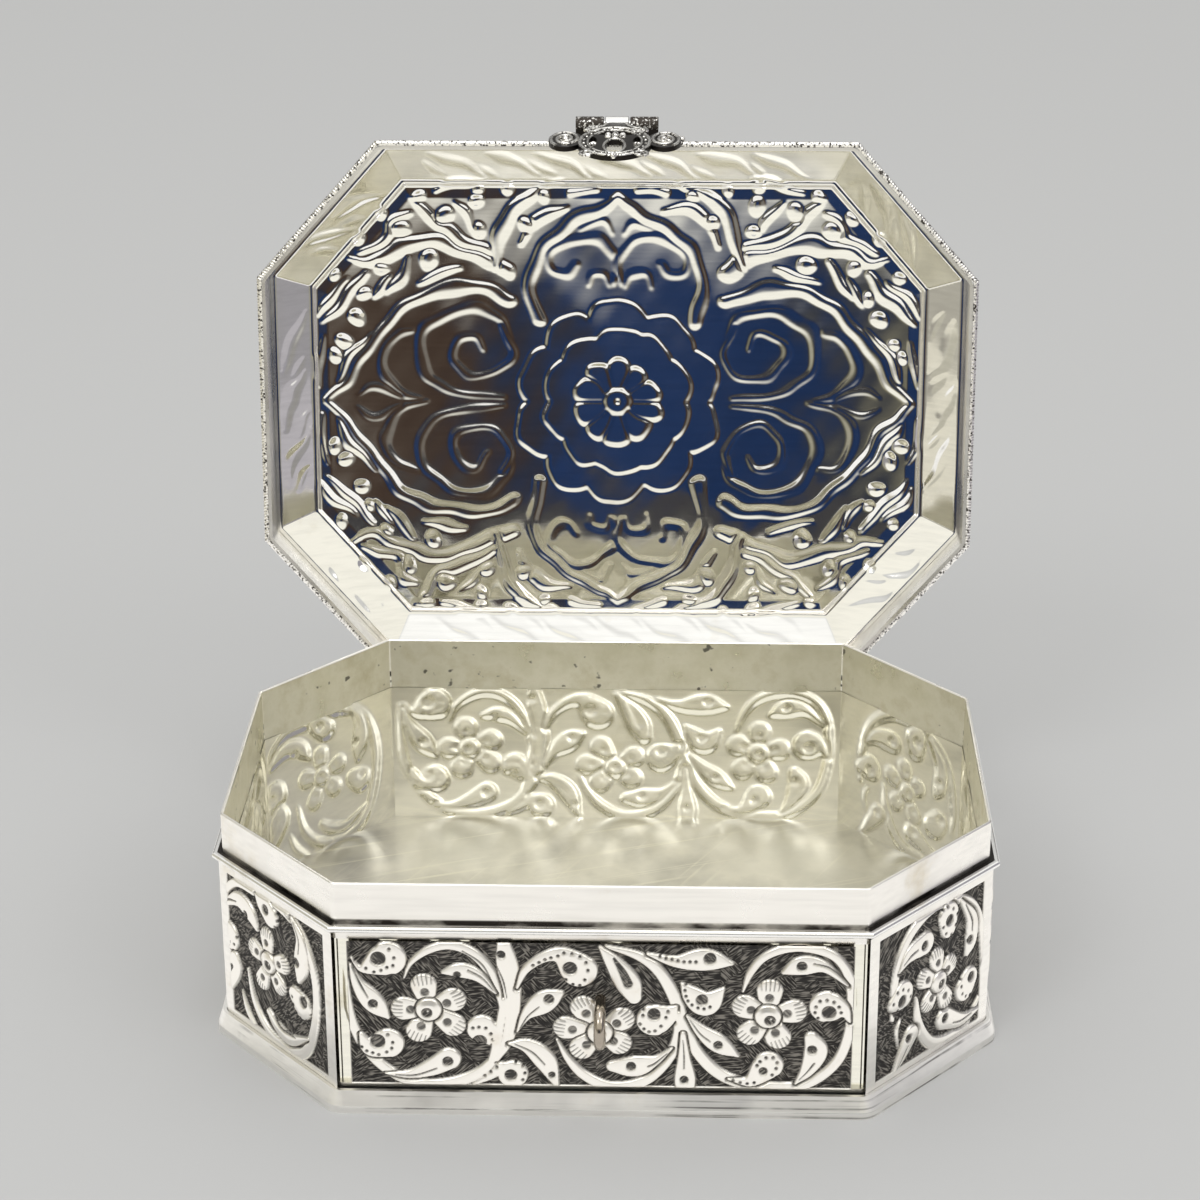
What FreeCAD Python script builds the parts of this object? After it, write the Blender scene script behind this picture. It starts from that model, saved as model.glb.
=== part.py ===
import FreeCAD, Part

import math
import os

import Sketcher

# Eight-sided chased metal box with a hinged lid and a hasp that drops over a staple.
# X runs along the box, the front faces -Y, Z is up and the origin is the middle of the foot.
# Lid pieces are drawn closed and turned open about the back hinge by their Placement.

# Driving sizes, in millimetres and degrees. An outset is measured outwards from the collar's outer face.
SIZES = {
    "collar_length": 150.0,
    "collar_depth": 113.0,
    "corner_run_x": 24.9,
    "corner_run_y": 28.1,
    "bend_radius": 1.6,
    "solder_gap": 0.05,
    "running_gap": 0.3,
    "pin_clearance": 0.05,
    "wall_thickness": 0.85,
    "wall_height": 40.0,
    "panel_depth": 0.35,
    "panel_margin": 2.6,
    "panel_low_margin": 0.4,
    "panel_top_margin": 1.2,
    "collar_thickness": 0.65,
    "collar_rise": 8.4,
    "collar_lap": 3.3,
    "collar_edge_bevel": 0.2,
    "floor_thickness": 0.8,
    "floor_level": 5.2,
    "foot_height": 4.5,
    "foot_reach": 1.8,
    "foot_top_width": 0.7,
    "foot_face_height": 1.6,
    "foot_lip_thickness": 0.8,
    "foot_lip_width": 1.9,
    "bead_height": 1.2,
    "bead_reach": 1.0,
    "bead_rounding": 0.55,
    "lid_gap": 0.25,
    "skirt_clearance": 0.35,
    "skirt_thickness": 0.7,
    "skirt_height": 8.35,
    "edge_wire_height": 1.2,
    "edge_wire_reach": 1.15,
    "edge_wire_rounding": 0.55,
    "lid_sheet": 0.7,
    "shoulder_width": 1.75,
    "border_run": 7.0,
    "border_rise": 3.5,
    "ridge_width": 1.4,
    "ridge_rise": 0.6,
    "ridge_wall": 0.35,
    "field_sink": 0.8,
    "lid_open_angle": 97.0,
    "hinge_reach": 0.95,
    "hinge_width": 25.0,
    "hinge_lid_knuckle": 8.0,
    "hinge_knuckle_radius": 1.35,
    "hinge_pin_radius": 0.7,
    "hinge_leaf_thickness": 0.7,
    "hinge_leaf_height": 7.0,
    "staple_level": 21.0,
    "staple_reach": 8.0,
    "staple_height": 9.4,
    "staple_wire": 2.2,
    "staple_tail": 0.6,
    "hasp_axis_reach": 4.45,
    "hasp_axis_lift": 4.0,
    "hasp_width": 17.5,
    "hasp_leaf_knuckle": 5.0,
    "hasp_knuckle_radius": 1.3,
    "hasp_pin_radius": 0.65,
    "hasp_plate_span": 28.4,
    "hasp_plate_height": 6.4,
    "hasp_plate_thickness": 0.9,
    "hasp_plate_eye": 1.5,
    "hasp_web_thickness": 1.6,
    "hasp_leaf_thickness": 1.0,
    "hasp_droop_angle": 5.5,
    "medallion_width": 15.3,
    "medallion_height": 25.6,
    "medallion_drop": 19.2,
    "scroll_width": 7.0,
    "scroll_height": 14.0,
    "scroll_spread": 10.2,
    "scroll_drop": 17.0,
    "scroll_band": 1.6,
    "slot_width": 3.2,
    "slot_height": 11.0,
    "neck_drop": 8.0,
    "crest_radius": 1.5,
    "crest_spread": 2.2,
    "crest_drop": 11.6,
    "side_opening_width": 1.9,
    "side_opening_height": 9.0,
    "side_opening_spread": 4.6,
    "ornament_rise": 0.48,
    "scroll_band_half": 0.8,
    "lid_ornament_rise": 0.8,
    "lid_ornament_hollow": 0.65,
    "lid_ornament_wall": 0.6,
    "rosette_radius": 16.1,
    "rosette_lobe_radius": 6.9,
    "lobe_band_half": 1.7,
    "vine_band_half": 1.2,
}

# Places worked out from the driving sizes, as formulas of the sheet
PLACES = {
    "half_length": "collar_length / 2",
    "half_depth": "collar_depth / 2",
    "corner_slant": "sqrt(corner_run_x ^ 2 + corner_run_y ^ 2)",
    "corner_spread_x": "(corner_slant - corner_run_x) / corner_run_y",
    "corner_spread_y": "(corner_slant - corner_run_y) / corner_run_x",
    "flat_half_x": "half_length - corner_run_x",
    "flat_half_y": "half_depth - corner_run_y",
    "collar_inner": "-collar_thickness",
    "collar_outer": "collar_inner + collar_thickness",
    "collar_low": "wall_height - collar_lap",
    "collar_height": "collar_lap + collar_rise",
    "collar_top": "wall_height + collar_rise",
    "collar_rim": "collar_inner - running_gap",
    "wall_inner": "collar_outer + solder_gap",
    "wall_outer": "wall_inner + wall_thickness",
    "wall_low": "foot_lip_thickness + solder_gap",
    "wall_rise": "wall_height - wall_low",
    "floor_edge": "wall_inner - solder_gap",
    "floor_low": "floor_level - floor_thickness",
    "foot_seat": "wall_outer + solder_gap",
    "foot_outer": "foot_seat + foot_reach",
    "foot_hollow": "wall_inner - foot_lip_width",
    "foot_bevel_in": "foot_reach - foot_top_width",
    "foot_bevel_down": "foot_height - foot_face_height",
    "bead_low": "wall_height - bead_height",
    "bead_seat": "wall_outer + solder_gap",
    "bead_outer": "bead_seat + bead_reach",
    "bead_rim": "bead_seat + bead_reach / 2",
    "lid_edge": "wall_height + lid_gap",
    "skirt_inner": "collar_outer + skirt_clearance",
    "skirt_outer": "skirt_inner + skirt_thickness",
    "wire_seat": "skirt_outer + solder_gap",
    "wire_outer": "wire_seat + edge_wire_reach",
    "wire_rim": "wire_seat + edge_wire_reach / 2",
    "wire_top": "lid_edge + edge_wire_height",
    "lid_seat": "lid_edge + skirt_height + solder_gap",
    "shoulder_top": "lid_seat + lid_sheet",
    "border_foot": "skirt_outer - shoulder_width",
    "border_head": "border_foot - border_run",
    "border_top": "shoulder_top + border_rise",
    "ridge_top": "border_top + ridge_rise",
    "ridge_inner": "border_head - ridge_width",
    "field_under": "ridge_top - field_sink - lid_sheet",
    "slope_rate": "border_run / border_rise",
    "slope_drop": "lid_sheet * sqrt(1 + 1 / slope_rate ^ 2)",
    "hollow_foot": "border_foot - (lid_seat - shoulder_top + slope_drop) * slope_rate",
    "hollow_head": "border_foot - (field_under - shoulder_top + slope_drop) * slope_rate",
    "groove_outer": "border_head - ridge_wall",
    "groove_inner": "ridge_inner + ridge_wall",
    "groove_depth": "ridge_top - lid_sheet - field_under",
    "hinge_y": "half_depth + wall_outer + hinge_reach",
    "hinge_level": "wall_height + lid_gap / 2",
    "hinge_half": "hinge_width / 2",
    "lid_knuckle_half": "hinge_lid_knuckle / 2",
    "body_knuckle_start": "lid_knuckle_half + running_gap",
    "body_knuckle_length": "hinge_half - body_knuckle_start",
    "hinge_bore": "hinge_pin_radius + pin_clearance",
    "barrel_room": "hinge_knuckle_radius + running_gap",
    "notch_half": "hinge_half + running_gap",
    "notch_low": "hinge_level - barrel_room",
    "notch_high": "hinge_level + barrel_room",
    "notch_back": "half_depth + wire_outer + running_gap",
    "wall_notch_depth": "notch_back - half_depth - wall_inner + solder_gap / 2",
    "skirt_notch_depth": "notch_back - half_depth - skirt_inner + skirt_clearance / 2",
    "above_wall": "wall_height + running_gap",
    "below_edge": "lid_edge - running_gap",
    "below_bead": "bead_low - running_gap",
    "above_wire": "lid_edge + edge_wire_height + running_gap",
    "body_leaf_low": "hinge_level - hinge_leaf_height",
    "body_leaf_face": "half_depth + wall_outer + solder_gap",
    "lid_leaf_top": "hinge_level + hinge_leaf_height",
    "lid_leaf_face": "half_depth + skirt_outer + solder_gap",
    "staple_radius": "staple_wire / 2",
    "staple_bend": "(staple_height - staple_wire) / 2",
    "staple_top": "staple_level + staple_bend",
    "staple_bottom": "staple_level - staple_bend",
    "staple_root": "half_depth + wall_inner - staple_tail",
    "staple_turn": "half_depth + wall_outer + staple_reach - staple_radius - staple_bend",
    "staple_hole": "staple_radius + solder_gap",
    "front_reach": "half_depth + wall_outer + running_gap",
    "wall_cut": "wall_thickness + 2 * running_gap",
    "hasp_out": "half_depth + skirt_outer + hasp_axis_reach",
    "hasp_level": "wall_height + hasp_axis_lift",
    "hasp_half": "hasp_width / 2",
    "leaf_knuckle_half": "hasp_leaf_knuckle / 2",
    "bracket_knuckle_start": "leaf_knuckle_half + running_gap",
    "bracket_knuckle_length": "hasp_half - bracket_knuckle_start",
    "bracket_gap": "2 * bracket_knuckle_start",
    "hasp_bore": "hasp_pin_radius + pin_clearance",
    "hasp_room": "hasp_knuckle_radius + running_gap",
    "bracket_face": "half_depth + skirt_outer + solder_gap",
    "bracket_mid": "lid_edge + edge_wire_height + solder_gap + hasp_plate_height / 2",
    "bracket_end_radius": "hasp_plate_height / 2",
    "bracket_end_x": "hasp_plate_span / 2 - bracket_end_radius",
    "web_top": "hasp_level + hasp_web_thickness / 2",
    "web_low": "hasp_level - hasp_web_thickness / 2",
    "leaf_face": "hasp_out - hasp_leaf_thickness / 2",
    "medallion_level": "hasp_level - medallion_drop",
    "scroll_level": "hasp_level - scroll_drop",
    "scroll_eye_width": "scroll_width - 2 * scroll_band",
    "scroll_eye_height": "scroll_height - 2 * scroll_band",
    "neck_level": "hasp_level - neck_drop",
    "crest_level": "hasp_level - crest_drop",
    "slot_level": "hasp_level - (hasp_level - staple_level) / cos(hasp_droop_angle)",
    "slot_end_radius": "slot_width / 2",
    "slot_upper": "slot_level + slot_height / 2 - slot_end_radius",
    "slot_lower": "slot_level - slot_height / 2 + slot_end_radius",
    "panel_low": "foot_height + panel_low_margin",
    "panel_high": "wall_height - bead_height - panel_top_margin",
    "panel_half_x": "flat_half_x + wall_outer * corner_spread_x - panel_margin",
    "panel_half_y": "flat_half_y + wall_outer * corner_spread_y - panel_margin",
    "panel_half_slant": "corner_slant / 2 - panel_margin",
    "front_face": "half_depth + wall_outer",
    "end_face": "half_length + wall_outer",
    "corner_angle": "atan(corner_run_y / corner_run_x)",
    "corner_mid_x": "half_length - corner_run_x / 2 + wall_outer * corner_run_y / corner_slant",
    "corner_mid_y": "half_depth - corner_run_y / 2 + wall_outer * corner_run_x / corner_slant",
    "front_floor": "front_face - panel_depth",
    "end_floor": "end_face - panel_depth",
    "corner_floor_x": "corner_mid_x - panel_depth * corner_run_y / corner_slant",
    "corner_floor_y": "corner_mid_y - panel_depth * corner_run_x / corner_slant",
    "panel_mid": "(panel_high + panel_low) / 2",
    "panel_half_z": "(panel_high - panel_low) / 2",
    "field_top": "field_under + lid_sheet",
    "lid_half_x": "half_length + ridge_inner",
    "lid_half_y": "half_depth + ridge_inner",
    "rosette_hollow_radius": "rosette_lobe_radius - lid_ornament_wall",
    "lobe_hollow_half": "lobe_band_half - lid_ornament_wall",
    "vine_hollow_half": "vine_band_half - lid_ornament_wall",
}

# Middle lines of the scrolls that stand up from the wall's fields, and the flowers inside them.
# Places are shares of a field's half width and half height from its middle. A flower also has the
# turn of its first petal in degrees and its petals' distance as a share of the field's half width.
FRONT_SCROLLS = [
    [
        (-0.43, -0.67), (-0.51, -0.85), (-0.63, -0.92), (-0.75, -0.88), (-0.87, -0.66), (-0.945, -0.29),
        (-0.97, 0.05),
    ],
    [(-0.75, 0.70), (-0.68, 0.87), (-0.60, 0.93), (-0.51, 0.85), (-0.44, 0.60), (-0.40, 0.25)],
    [(-0.367, 0.68), (-0.35, 0.33), (-0.35, -0.08), (-0.367, -0.39)],
    [
        (0.375, -0.52), (0.46, -0.82), (0.57, -0.92), (0.725, -0.93), (0.845, -0.90), (0.94, -0.63),
        (0.97, -0.20), (0.97, 0.19), (0.96, 0.54), (0.92, 0.78), (0.83, 0.90), (0.74, 0.90), (0.65, 0.78),
        (0.59, 0.57),
    ],
]
FRONT_MIDDLE_SCROLL = [
    (-0.13, -0.63), (-0.065, -0.85), (0.04, -0.92), (0.155, -0.91), (0.24, -0.74), (0.30, -0.39),
    (0.313, -0.05), (0.28, 0.28), (0.225, 0.60), (0.15, 0.79), (0.056, 0.90),
]
FRONT_FLOWERS = [(-0.68, 0.05, 100.0, 0.108), (0.0, -0.27, 110.0, 0.108), (0.66, -0.05, 86.0, 0.108)]
END_SCROLL = [
    (0.25, -0.92), (0.53, -0.93), (0.75, -0.90), (0.90, -0.63), (0.94, -0.20), (0.94, 0.19), (0.93, 0.54),
    (0.88, 0.78), (0.73, 0.90), (0.555, 0.90), (0.39, 0.78), (0.29, 0.57),
]
END_FLOWER = (0.41, -0.05, 86.0, 0.2)
CORNER_SCROLLS = {
    -1: [[
        (-0.60, -0.25), (-0.50, -0.62), (-0.23, -0.86), (0.20, -0.92), (0.54, -0.84), (0.76, -0.48),
        (0.84, 0.04), (0.75, 0.46), (0.50, 0.75), (0.12, 0.88), (-0.35, 0.87),
    ]],
    1: [
        [
            (-0.73, -0.22), (-0.71, 0.21), (-0.62, 0.58), (-0.39, 0.82), (-0.03, 0.91), (0.39, 0.89),
            (0.74, 0.76),
        ],
        [(-0.28, -0.30), (-0.20, -0.55), (0.04, -0.82), (0.38, -0.88), (0.76, -0.80)],
    ],
}
CORNER_FLOWERS = {-1: (-0.17, 0.02, 92.0, 0.32), 1: (0.15, -0.05, 97.0, 0.32)}
PETALS = 5
PETAL_BLUNTNESS = 0.26
NOTCH_SHARE = 0.72
TIP_SHARE = 1.35

# Middle lines of the lid's bands for one quarter, as shares of its field's half length and half depth
LID_LOBES = [
    [(0.285, 0.45), (0.285, 0.557), (0.245, 0.709), (0.156, 0.831), (0.061, 0.888), (0.03, 0.925)],
    [
        (0.37, 0.485), (0.475, 0.534), (0.617, 0.51), (0.727, 0.424), (0.815, 0.293), (0.889, 0.133),
        (0.945, 0.04),
    ],
]
LID_VINES = [
    [(0.448, 0.69), (0.563, 0.732), (0.692, 0.713), (0.815, 0.66)],
    [(0.546, 0.823), (0.60, 0.887), (0.642, 0.94)],
    [(0.38, 0.79), (0.34, 0.90), (0.26, 0.945)],
]
ROSETTE_LOBES = 10
SCALLOP_BLUNTNESS = 0.24

ORIGIN = -1
LEVEL_AXIS = -1
UPRIGHT_AXIS = -2
START = 1
END = 2
CENTRE = 3
NEAR = 1e-3

doc = FreeCAD.newDocument("chased_box")
dims = doc.addObject("Spreadsheet::Sheet", "dims")
for row, (alias, size) in enumerate(SIZES.items(), start=1):
    dims.set(f"A{row}", alias)
    dims.set(f"B{row}", str(size))
    dims.setAlias(f"B{row}", alias)
for row, (alias, formula) in enumerate(PLACES.items(), start=1):
    dims.set(f"C{row}", alias)
    dims.set(f"D{row}", f"={formula}")
    dims.setAlias(f"D{row}", alias)
doc.recompute()


def bind(thing, place, text):
    """Ties a property to a cell, with its sign turned when the text starts with a minus."""
    sign = "-" if text.startswith("-") else ""
    thing.setExpression(place, f"{sign}dims.{text.lstrip('-')}")


def worth(text):
    """The present number of a cell, with its sign turned when the text starts with a minus."""
    sign = -1.0 if text.startswith("-") else 1.0
    return 0.0 if text == "0" else sign * float(getattr(dims, text.lstrip("-")))


def new_body(label):
    body = doc.addObject("PartDesign::Body", label)
    body.Label = label
    return body


def plane_of(body, role):
    return next(feature for feature in body.Origin.OriginFeatures if feature.Role == role)


def sketch_on(body, name, role, lift=None):
    """An empty sketch on one of the body's own planes, lifted along that plane's normal."""
    sketch = body.newObject("Sketcher::SketchObject", name)
    sketch.AttachmentSupport = (plane_of(body, role), [""])
    sketch.MapMode = "FlatFace"
    if lift:
        bind(sketch, "AttachmentOffset.Base.z", lift)
    return sketch


def measure(sketch, kind, *ends, text):
    """A dimension of the sketch that a cell drives."""
    index = sketch.addConstraint(Sketcher.Constraint(kind, *ends, abs(worth(text))))
    bind(sketch, f"Constraints[{index}]", text.lstrip("-"))


def tie_point(sketch, shape, point, across, along):
    """Holds a point at signed distances from the sketch's origin."""
    for kind, axis, text in (("DistanceX", UPRIGHT_AXIS, across), ("DistanceY", LEVEL_AXIS, along)):
        if text == "0":
            sketch.addConstraint(Sketcher.Constraint("PointOnObject", shape, point, axis))
        elif text.startswith("-"):
            measure(sketch, kind, shape, point, ORIGIN, START, text=text)
        else:
            measure(sketch, kind, ORIGIN, START, shape, point, text=text)


def add_loop(sketch, spots):
    """A closed outline of straight lines through the spots, which gives back its lines."""
    lines = [
        sketch.addGeometry(Part.LineSegment(spot, spots[(i + 1) % len(spots)]), False)
        for i, spot in enumerate(spots)
    ]
    for i, line in enumerate(lines):
        sketch.addConstraint(Sketcher.Constraint("Coincident", line, START, lines[i - 1], END))
    return lines


def add_outline(sketch, corners):
    """A closed outline of straight lines through corners given as pairs of cells."""
    lines = add_loop(sketch, [FreeCAD.Vector(worth(x), worth(y), 0) for x, y in corners])
    for line, corner in zip(lines, corners):
        tie_point(sketch, line, START, *corner)


def add_circle(sketch, across, along, radius):
    centre = FreeCAD.Vector(worth(across), worth(along), 0)
    circle = sketch.addGeometry(Part.Circle(centre, FreeCAD.Vector(0, 0, 1), worth(radius)), False)
    tie_point(sketch, circle, CENTRE, across, along)
    measure(sketch, "Radius", circle, text=radius)


def add_ellipse(sketch, across, along, width, height):
    """An upright ellipse, held by its centre and the lengths of its two axes."""
    centre = FreeCAD.Vector(worth(across), worth(along), 0)
    tall = FreeCAD.Vector(0, worth(height) / 2, 0)
    wide = FreeCAD.Vector(worth(width) / 2, 0, 0)
    ellipse = sketch.addGeometry(Part.Ellipse(centre + tall, centre + wide, centre), False)
    sketch.exposeInternalGeometry(ellipse)
    tall_axis = ellipse + 1
    wide_axis = ellipse + 2
    tie_point(sketch, ellipse, CENTRE, across, along)
    sketch.addConstraint(Sketcher.Constraint("Vertical", tall_axis))
    measure(sketch, "Distance", tall_axis, text=height)
    measure(sketch, "Distance", wide_axis, text=width)


def add_stadium(sketch, first, second, radius):
    """Two half circles about the given centres, joined by tangent lines."""
    one = FreeCAD.Vector(worth(first[0]), worth(first[1]), 0)
    two = FreeCAD.Vector(worth(second[0]), worth(second[1]), 0)
    reach = worth(radius)
    run = (two - one).normalize()
    side = FreeCAD.Vector(-run.y, run.x, 0) * reach
    arcs = [
        sketch.addGeometry(Part.Arc(one + side, one - run * reach, one - side), False),
        sketch.addGeometry(Part.Arc(two - side, two + run * reach, two + side), False),
    ]
    lines = [
        sketch.addGeometry(Part.LineSegment(one - side, two - side), False),
        sketch.addGeometry(Part.LineSegment(two + side, one + side), False),
    ]
    order = [arcs[0], lines[0], arcs[1], lines[1]]
    for i, piece in enumerate(order):
        follower = order[(i + 1) % len(order)]
        sketch.addConstraint(Sketcher.Constraint("Tangent", piece, END, follower, START))
    tie_point(sketch, arcs[0], CENTRE, *first)
    tie_point(sketch, arcs[1], CENTRE, *second)
    measure(sketch, "Radius", arcs[0], text=radius)


def add_band(sketch, spots, half_width):
    """A band cut in short straight facets along a middle line, half as wide at its two ends."""
    last = len(spots) - 1
    sides = {1: [], -1: []}
    for i, spot in enumerate(spots):
        run = (spots[min(i + 1, last)] - spots[max(i - 1, 0)]).normalize()
        reach = half_width / 2 if i in (0, last) else half_width
        for side, points in sides.items():
            points.append(spot + FreeCAD.Vector(-run.y, run.x, 0) * side * reach)
    add_loop(sketch, sides[1] + sides[-1][::-1])


def polar(radius, angle):
    return FreeCAD.Vector(radius * math.cos(angle), radius * math.sin(angle), 0)


def lobed_loop(count, turn, notch, tip, blunt):
    """The corners of an outline of equal blunt lobes, with the lobes' half angle as a share of a step."""
    step = 2 * math.pi / count
    spots = []
    for i in range(count):
        middle = turn + i * step
        spots.append(polar(notch, middle - step / 2))
        spots.append(polar(tip, middle - blunt * step))
        spots.append(polar(tip, middle + blunt * step))
    return spots


def add_flower(sketch, heart, turn, reach):
    """A flower of blunt petals, given by the turn of one petal and the petals' distance from the heart."""
    sizes = (reach * NOTCH_SHARE, reach * TIP_SHARE, PETAL_BLUNTNESS)
    add_loop(sketch, [heart + spot for spot in lobed_loop(PETALS, math.radians(turn), *sizes)])


def add_scallops(sketch, lobe_radius):
    """A closed outline of equal lobes about the sketch's origin."""
    middle = worth("rosette_radius")
    half = math.pi / ROSETTE_LOBES
    cusp = middle * math.cos(half) + math.sqrt(lobe_radius ** 2 - (middle * math.sin(half)) ** 2)
    add_loop(sketch, lobed_loop(ROSETTE_LOBES, 0.0, cusp, middle + lobe_radius, SCALLOP_BLUNTNESS))


def octagon_corners(outset):
    """The eight corners of the plan at an outset, as pairs of sign, formula and number for X and Y."""
    far_x = f"dims.half_length + dims.{outset}"
    far_y = f"dims.half_depth + dims.{outset}"
    near_x = f"dims.flat_half_x + dims.{outset} * dims.corner_spread_x"
    near_y = f"dims.flat_half_y + dims.{outset} * dims.corner_spread_y"
    reach = worth(outset)
    x_far = dims.half_length + reach
    y_far = dims.half_depth + reach
    x_near = dims.flat_half_x + reach * dims.corner_spread_x
    y_near = dims.flat_half_y + reach * dims.corner_spread_y
    flat = (near_x, x_near, far_y, y_far)
    end = (far_x, x_far, near_y, y_near)
    turns = [(-1, -1, flat), (1, -1, flat), (1, -1, end), (1, 1, end)]
    turns += [(1, 1, flat), (-1, 1, flat), (-1, 1, end), (-1, -1, end)]
    return [((sx, c[0], c[1]), (sy, c[2], c[3])) for sx, sy, c in turns]


def add_octagon(sketch, outset):
    """The plan of the box at an outset: a rectangle with its four corners cut off."""
    corners = octagon_corners(outset)
    lines = add_loop(sketch, [FreeCAD.Vector(x[0] * x[2], y[0] * y[2], 0) for x, y in corners])
    for line, corner in zip(lines, corners):
        for kind, (sign, formula, number) in zip(("DistanceX", "DistanceY"), corner):
            ends = [(ORIGIN, START), (line, START)][::sign]
            index = sketch.addConstraint(Sketcher.Constraint(kind, *ends[0], *ends[1], number))
            sketch.setExpression(f"Constraints[{index}]", formula)


def octagon(body, name, outset, level):
    sketch = sketch_on(body, name, "XY_Plane", level)
    add_octagon(sketch, outset)
    return sketch


def pad(body, sketch, length, reverse=False, both_ways=False):
    feature = body.newObject("PartDesign::Pad", f"{sketch.Name}_pad")
    feature.Profile = sketch
    bind(feature, "Length", length)
    feature.Reversed = reverse
    if both_ways:
        feature.SideType = "Symmetric"
    doc.recompute()
    return feature


def pocket(body, sketch, length=None, reverse=False, both_ways=False):
    """Cuts a sketch into the body, right through where no length is given, and checks that it cut."""
    before = body.Shape.Volume
    feature = body.newObject("PartDesign::Pocket", f"{sketch.Name}_pocket")
    feature.Profile = sketch
    if length:
        bind(feature, "Length", length)
    else:
        feature.Type = "ThroughAll"
    feature.Reversed = reverse
    if both_ways:
        feature.SideType = "Symmetric"
    doc.recompute()
    if body.Shape.Volume >= before - NEAR:
        raise RuntimeError(f"{feature.Name} cuts nothing")
    return feature


def loft(body, kind, first, last):
    feature = body.newObject(f"PartDesign::{kind}", f"{last.Name}_loft")
    feature.Profile = first
    feature.Sections = [last]
    feature.Ruled = True
    doc.recompute()
    return feature


def mirror(body, original, role):
    feature = body.newObject("PartDesign::Mirrored", f"{original.Name}_mirrored")
    feature.Originals = [original]
    feature.MirrorPlane = (plane_of(body, role), [""])
    body.Tip = feature
    doc.recompute()
    return feature


def edge_names(feature, wanted):
    return [f"Edge{i}" for i, edge in enumerate(feature.Shape.Edges, start=1) if wanted(edge)]


def is_upright_at(edge, outset):
    """True for an upright edge that stands on a corner of the plan at this outset."""
    box = edge.BoundBox
    if box.XLength > NEAR or box.YLength > NEAR:
        return False
    spots = [(x[0] * x[2], y[0] * y[2]) for x, y in octagon_corners(outset)]
    return any(abs(box.XMin - x) < NEAR and abs(box.YMin - y) < NEAR for x, y in spots)


def round_corners(body, feature, outset):
    """Bends the sheet round the upright corners at an outset, about one common centre."""
    names = edge_names(feature, lambda edge: is_upright_at(edge, outset))
    bend = body.newObject("PartDesign::Fillet", f"{feature.Name}_bends")
    bend.Base = (feature, names)
    bend.setExpression("Radius", f"dims.bend_radius + dims.{outset}")
    doc.recompute()
    return bend


def is_outer_edge_at(edge, level, outset):
    """True for an edge of the level outline at this height that lies outside the given outset."""
    box = edge.BoundBox
    if box.ZLength > NEAR or abs(box.ZMin - worth(level)) > NEAR:
        return False
    middle = edge.valueAt((edge.FirstParameter + edge.LastParameter) / 2)
    across = (abs(middle.x) - dims.half_length, abs(middle.y) - dims.half_depth)
    slanted = abs(middle.x) * dims.corner_run_y + abs(middle.y) * dims.corner_run_x
    flat = dims.flat_half_x * dims.corner_run_y + dims.half_depth * dims.corner_run_x
    return max(*across, (slanted - flat) / dims.corner_slant) > worth(outset)


def round_edges(body, feature, edges, radius):
    rounding = body.newObject("PartDesign::Fillet", f"{feature.Name}_{radius}")
    rounding.Base = (feature, edges)
    bind(rounding, "Radius", radius)
    doc.recompute()
    return rounding


def mitred_ring(body, name, outer, inner, level, height):
    """A strip round the plan with mitred corners: padded up at one outset and hollowed at another."""
    pad(body, octagon(body, f"{name}_outside", outer, level), height)
    return pocket(body, octagon(body, f"{name}_inside", inner, level), reverse=True)


def ring(body, name, outer, inner, level, height):
    """A bent strip of sheet: the plan at one outset padded up, hollowed at another, corners bent."""
    block = pad(body, octagon(body, f"{name}_outside", outer, level), height)
    block = round_corners(body, block, outer)
    hollow = pocket(body, octagon(body, f"{name}_inside", inner, level), reverse=True)
    return round_corners(body, hollow, inner)


def back_cut(body, name, low, high, depth):
    """A gap through the back for the hinge, as deep as the sheet there."""
    sketch = sketch_on(body, name, "XZ_Plane", "-notch_back")
    corners = [("-notch_half", low), ("notch_half", low), ("notch_half", high), ("-notch_half", high)]
    add_outline(sketch, corners)
    return pocket(body, sketch, depth, reverse=True)


def rod_along(body, name, across, along, radius, start=None, length=None, both_ways=False):
    """A round bar along X about an axis given by its Y and Z cells."""
    sketch = sketch_on(body, name, "YZ_Plane", start)
    add_circle(sketch, across, along, radius)
    return pad(body, sketch, length, both_ways=both_ways)


def bore_along(body, name, across, along, radius):
    sketch = sketch_on(body, name, "YZ_Plane")
    add_circle(sketch, across, along, radius)
    return pocket(body, sketch, both_ways=True)


def open_with_lid(body, droop=False):
    """Turns a piece drawn on the closed lid to where the open lid holds it."""
    still = "vector(0; 0; 0)"
    level_axis = "vector(1; 0; 0)"
    hinge = "vector(0; dims.hinge_y; dims.hinge_level)"
    turn = f"placement({still}; rotation({level_axis}; -dims.lid_open_angle); {hinge})"
    if droop:
        pivot = "vector(0; -dims.hasp_out; dims.hasp_level)"
        turn += f" * placement({still}; rotation({level_axis}; dims.hasp_droop_angle); {pivot})"
    body.setExpression("Placement", turn)


def make_floor_plate():
    body = new_body("floor_plate")
    plate = pad(body, octagon(body, "floor_outline", "floor_edge", "floor_low"), "floor_thickness")
    round_corners(body, plate, "floor_edge")
    return body


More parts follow.
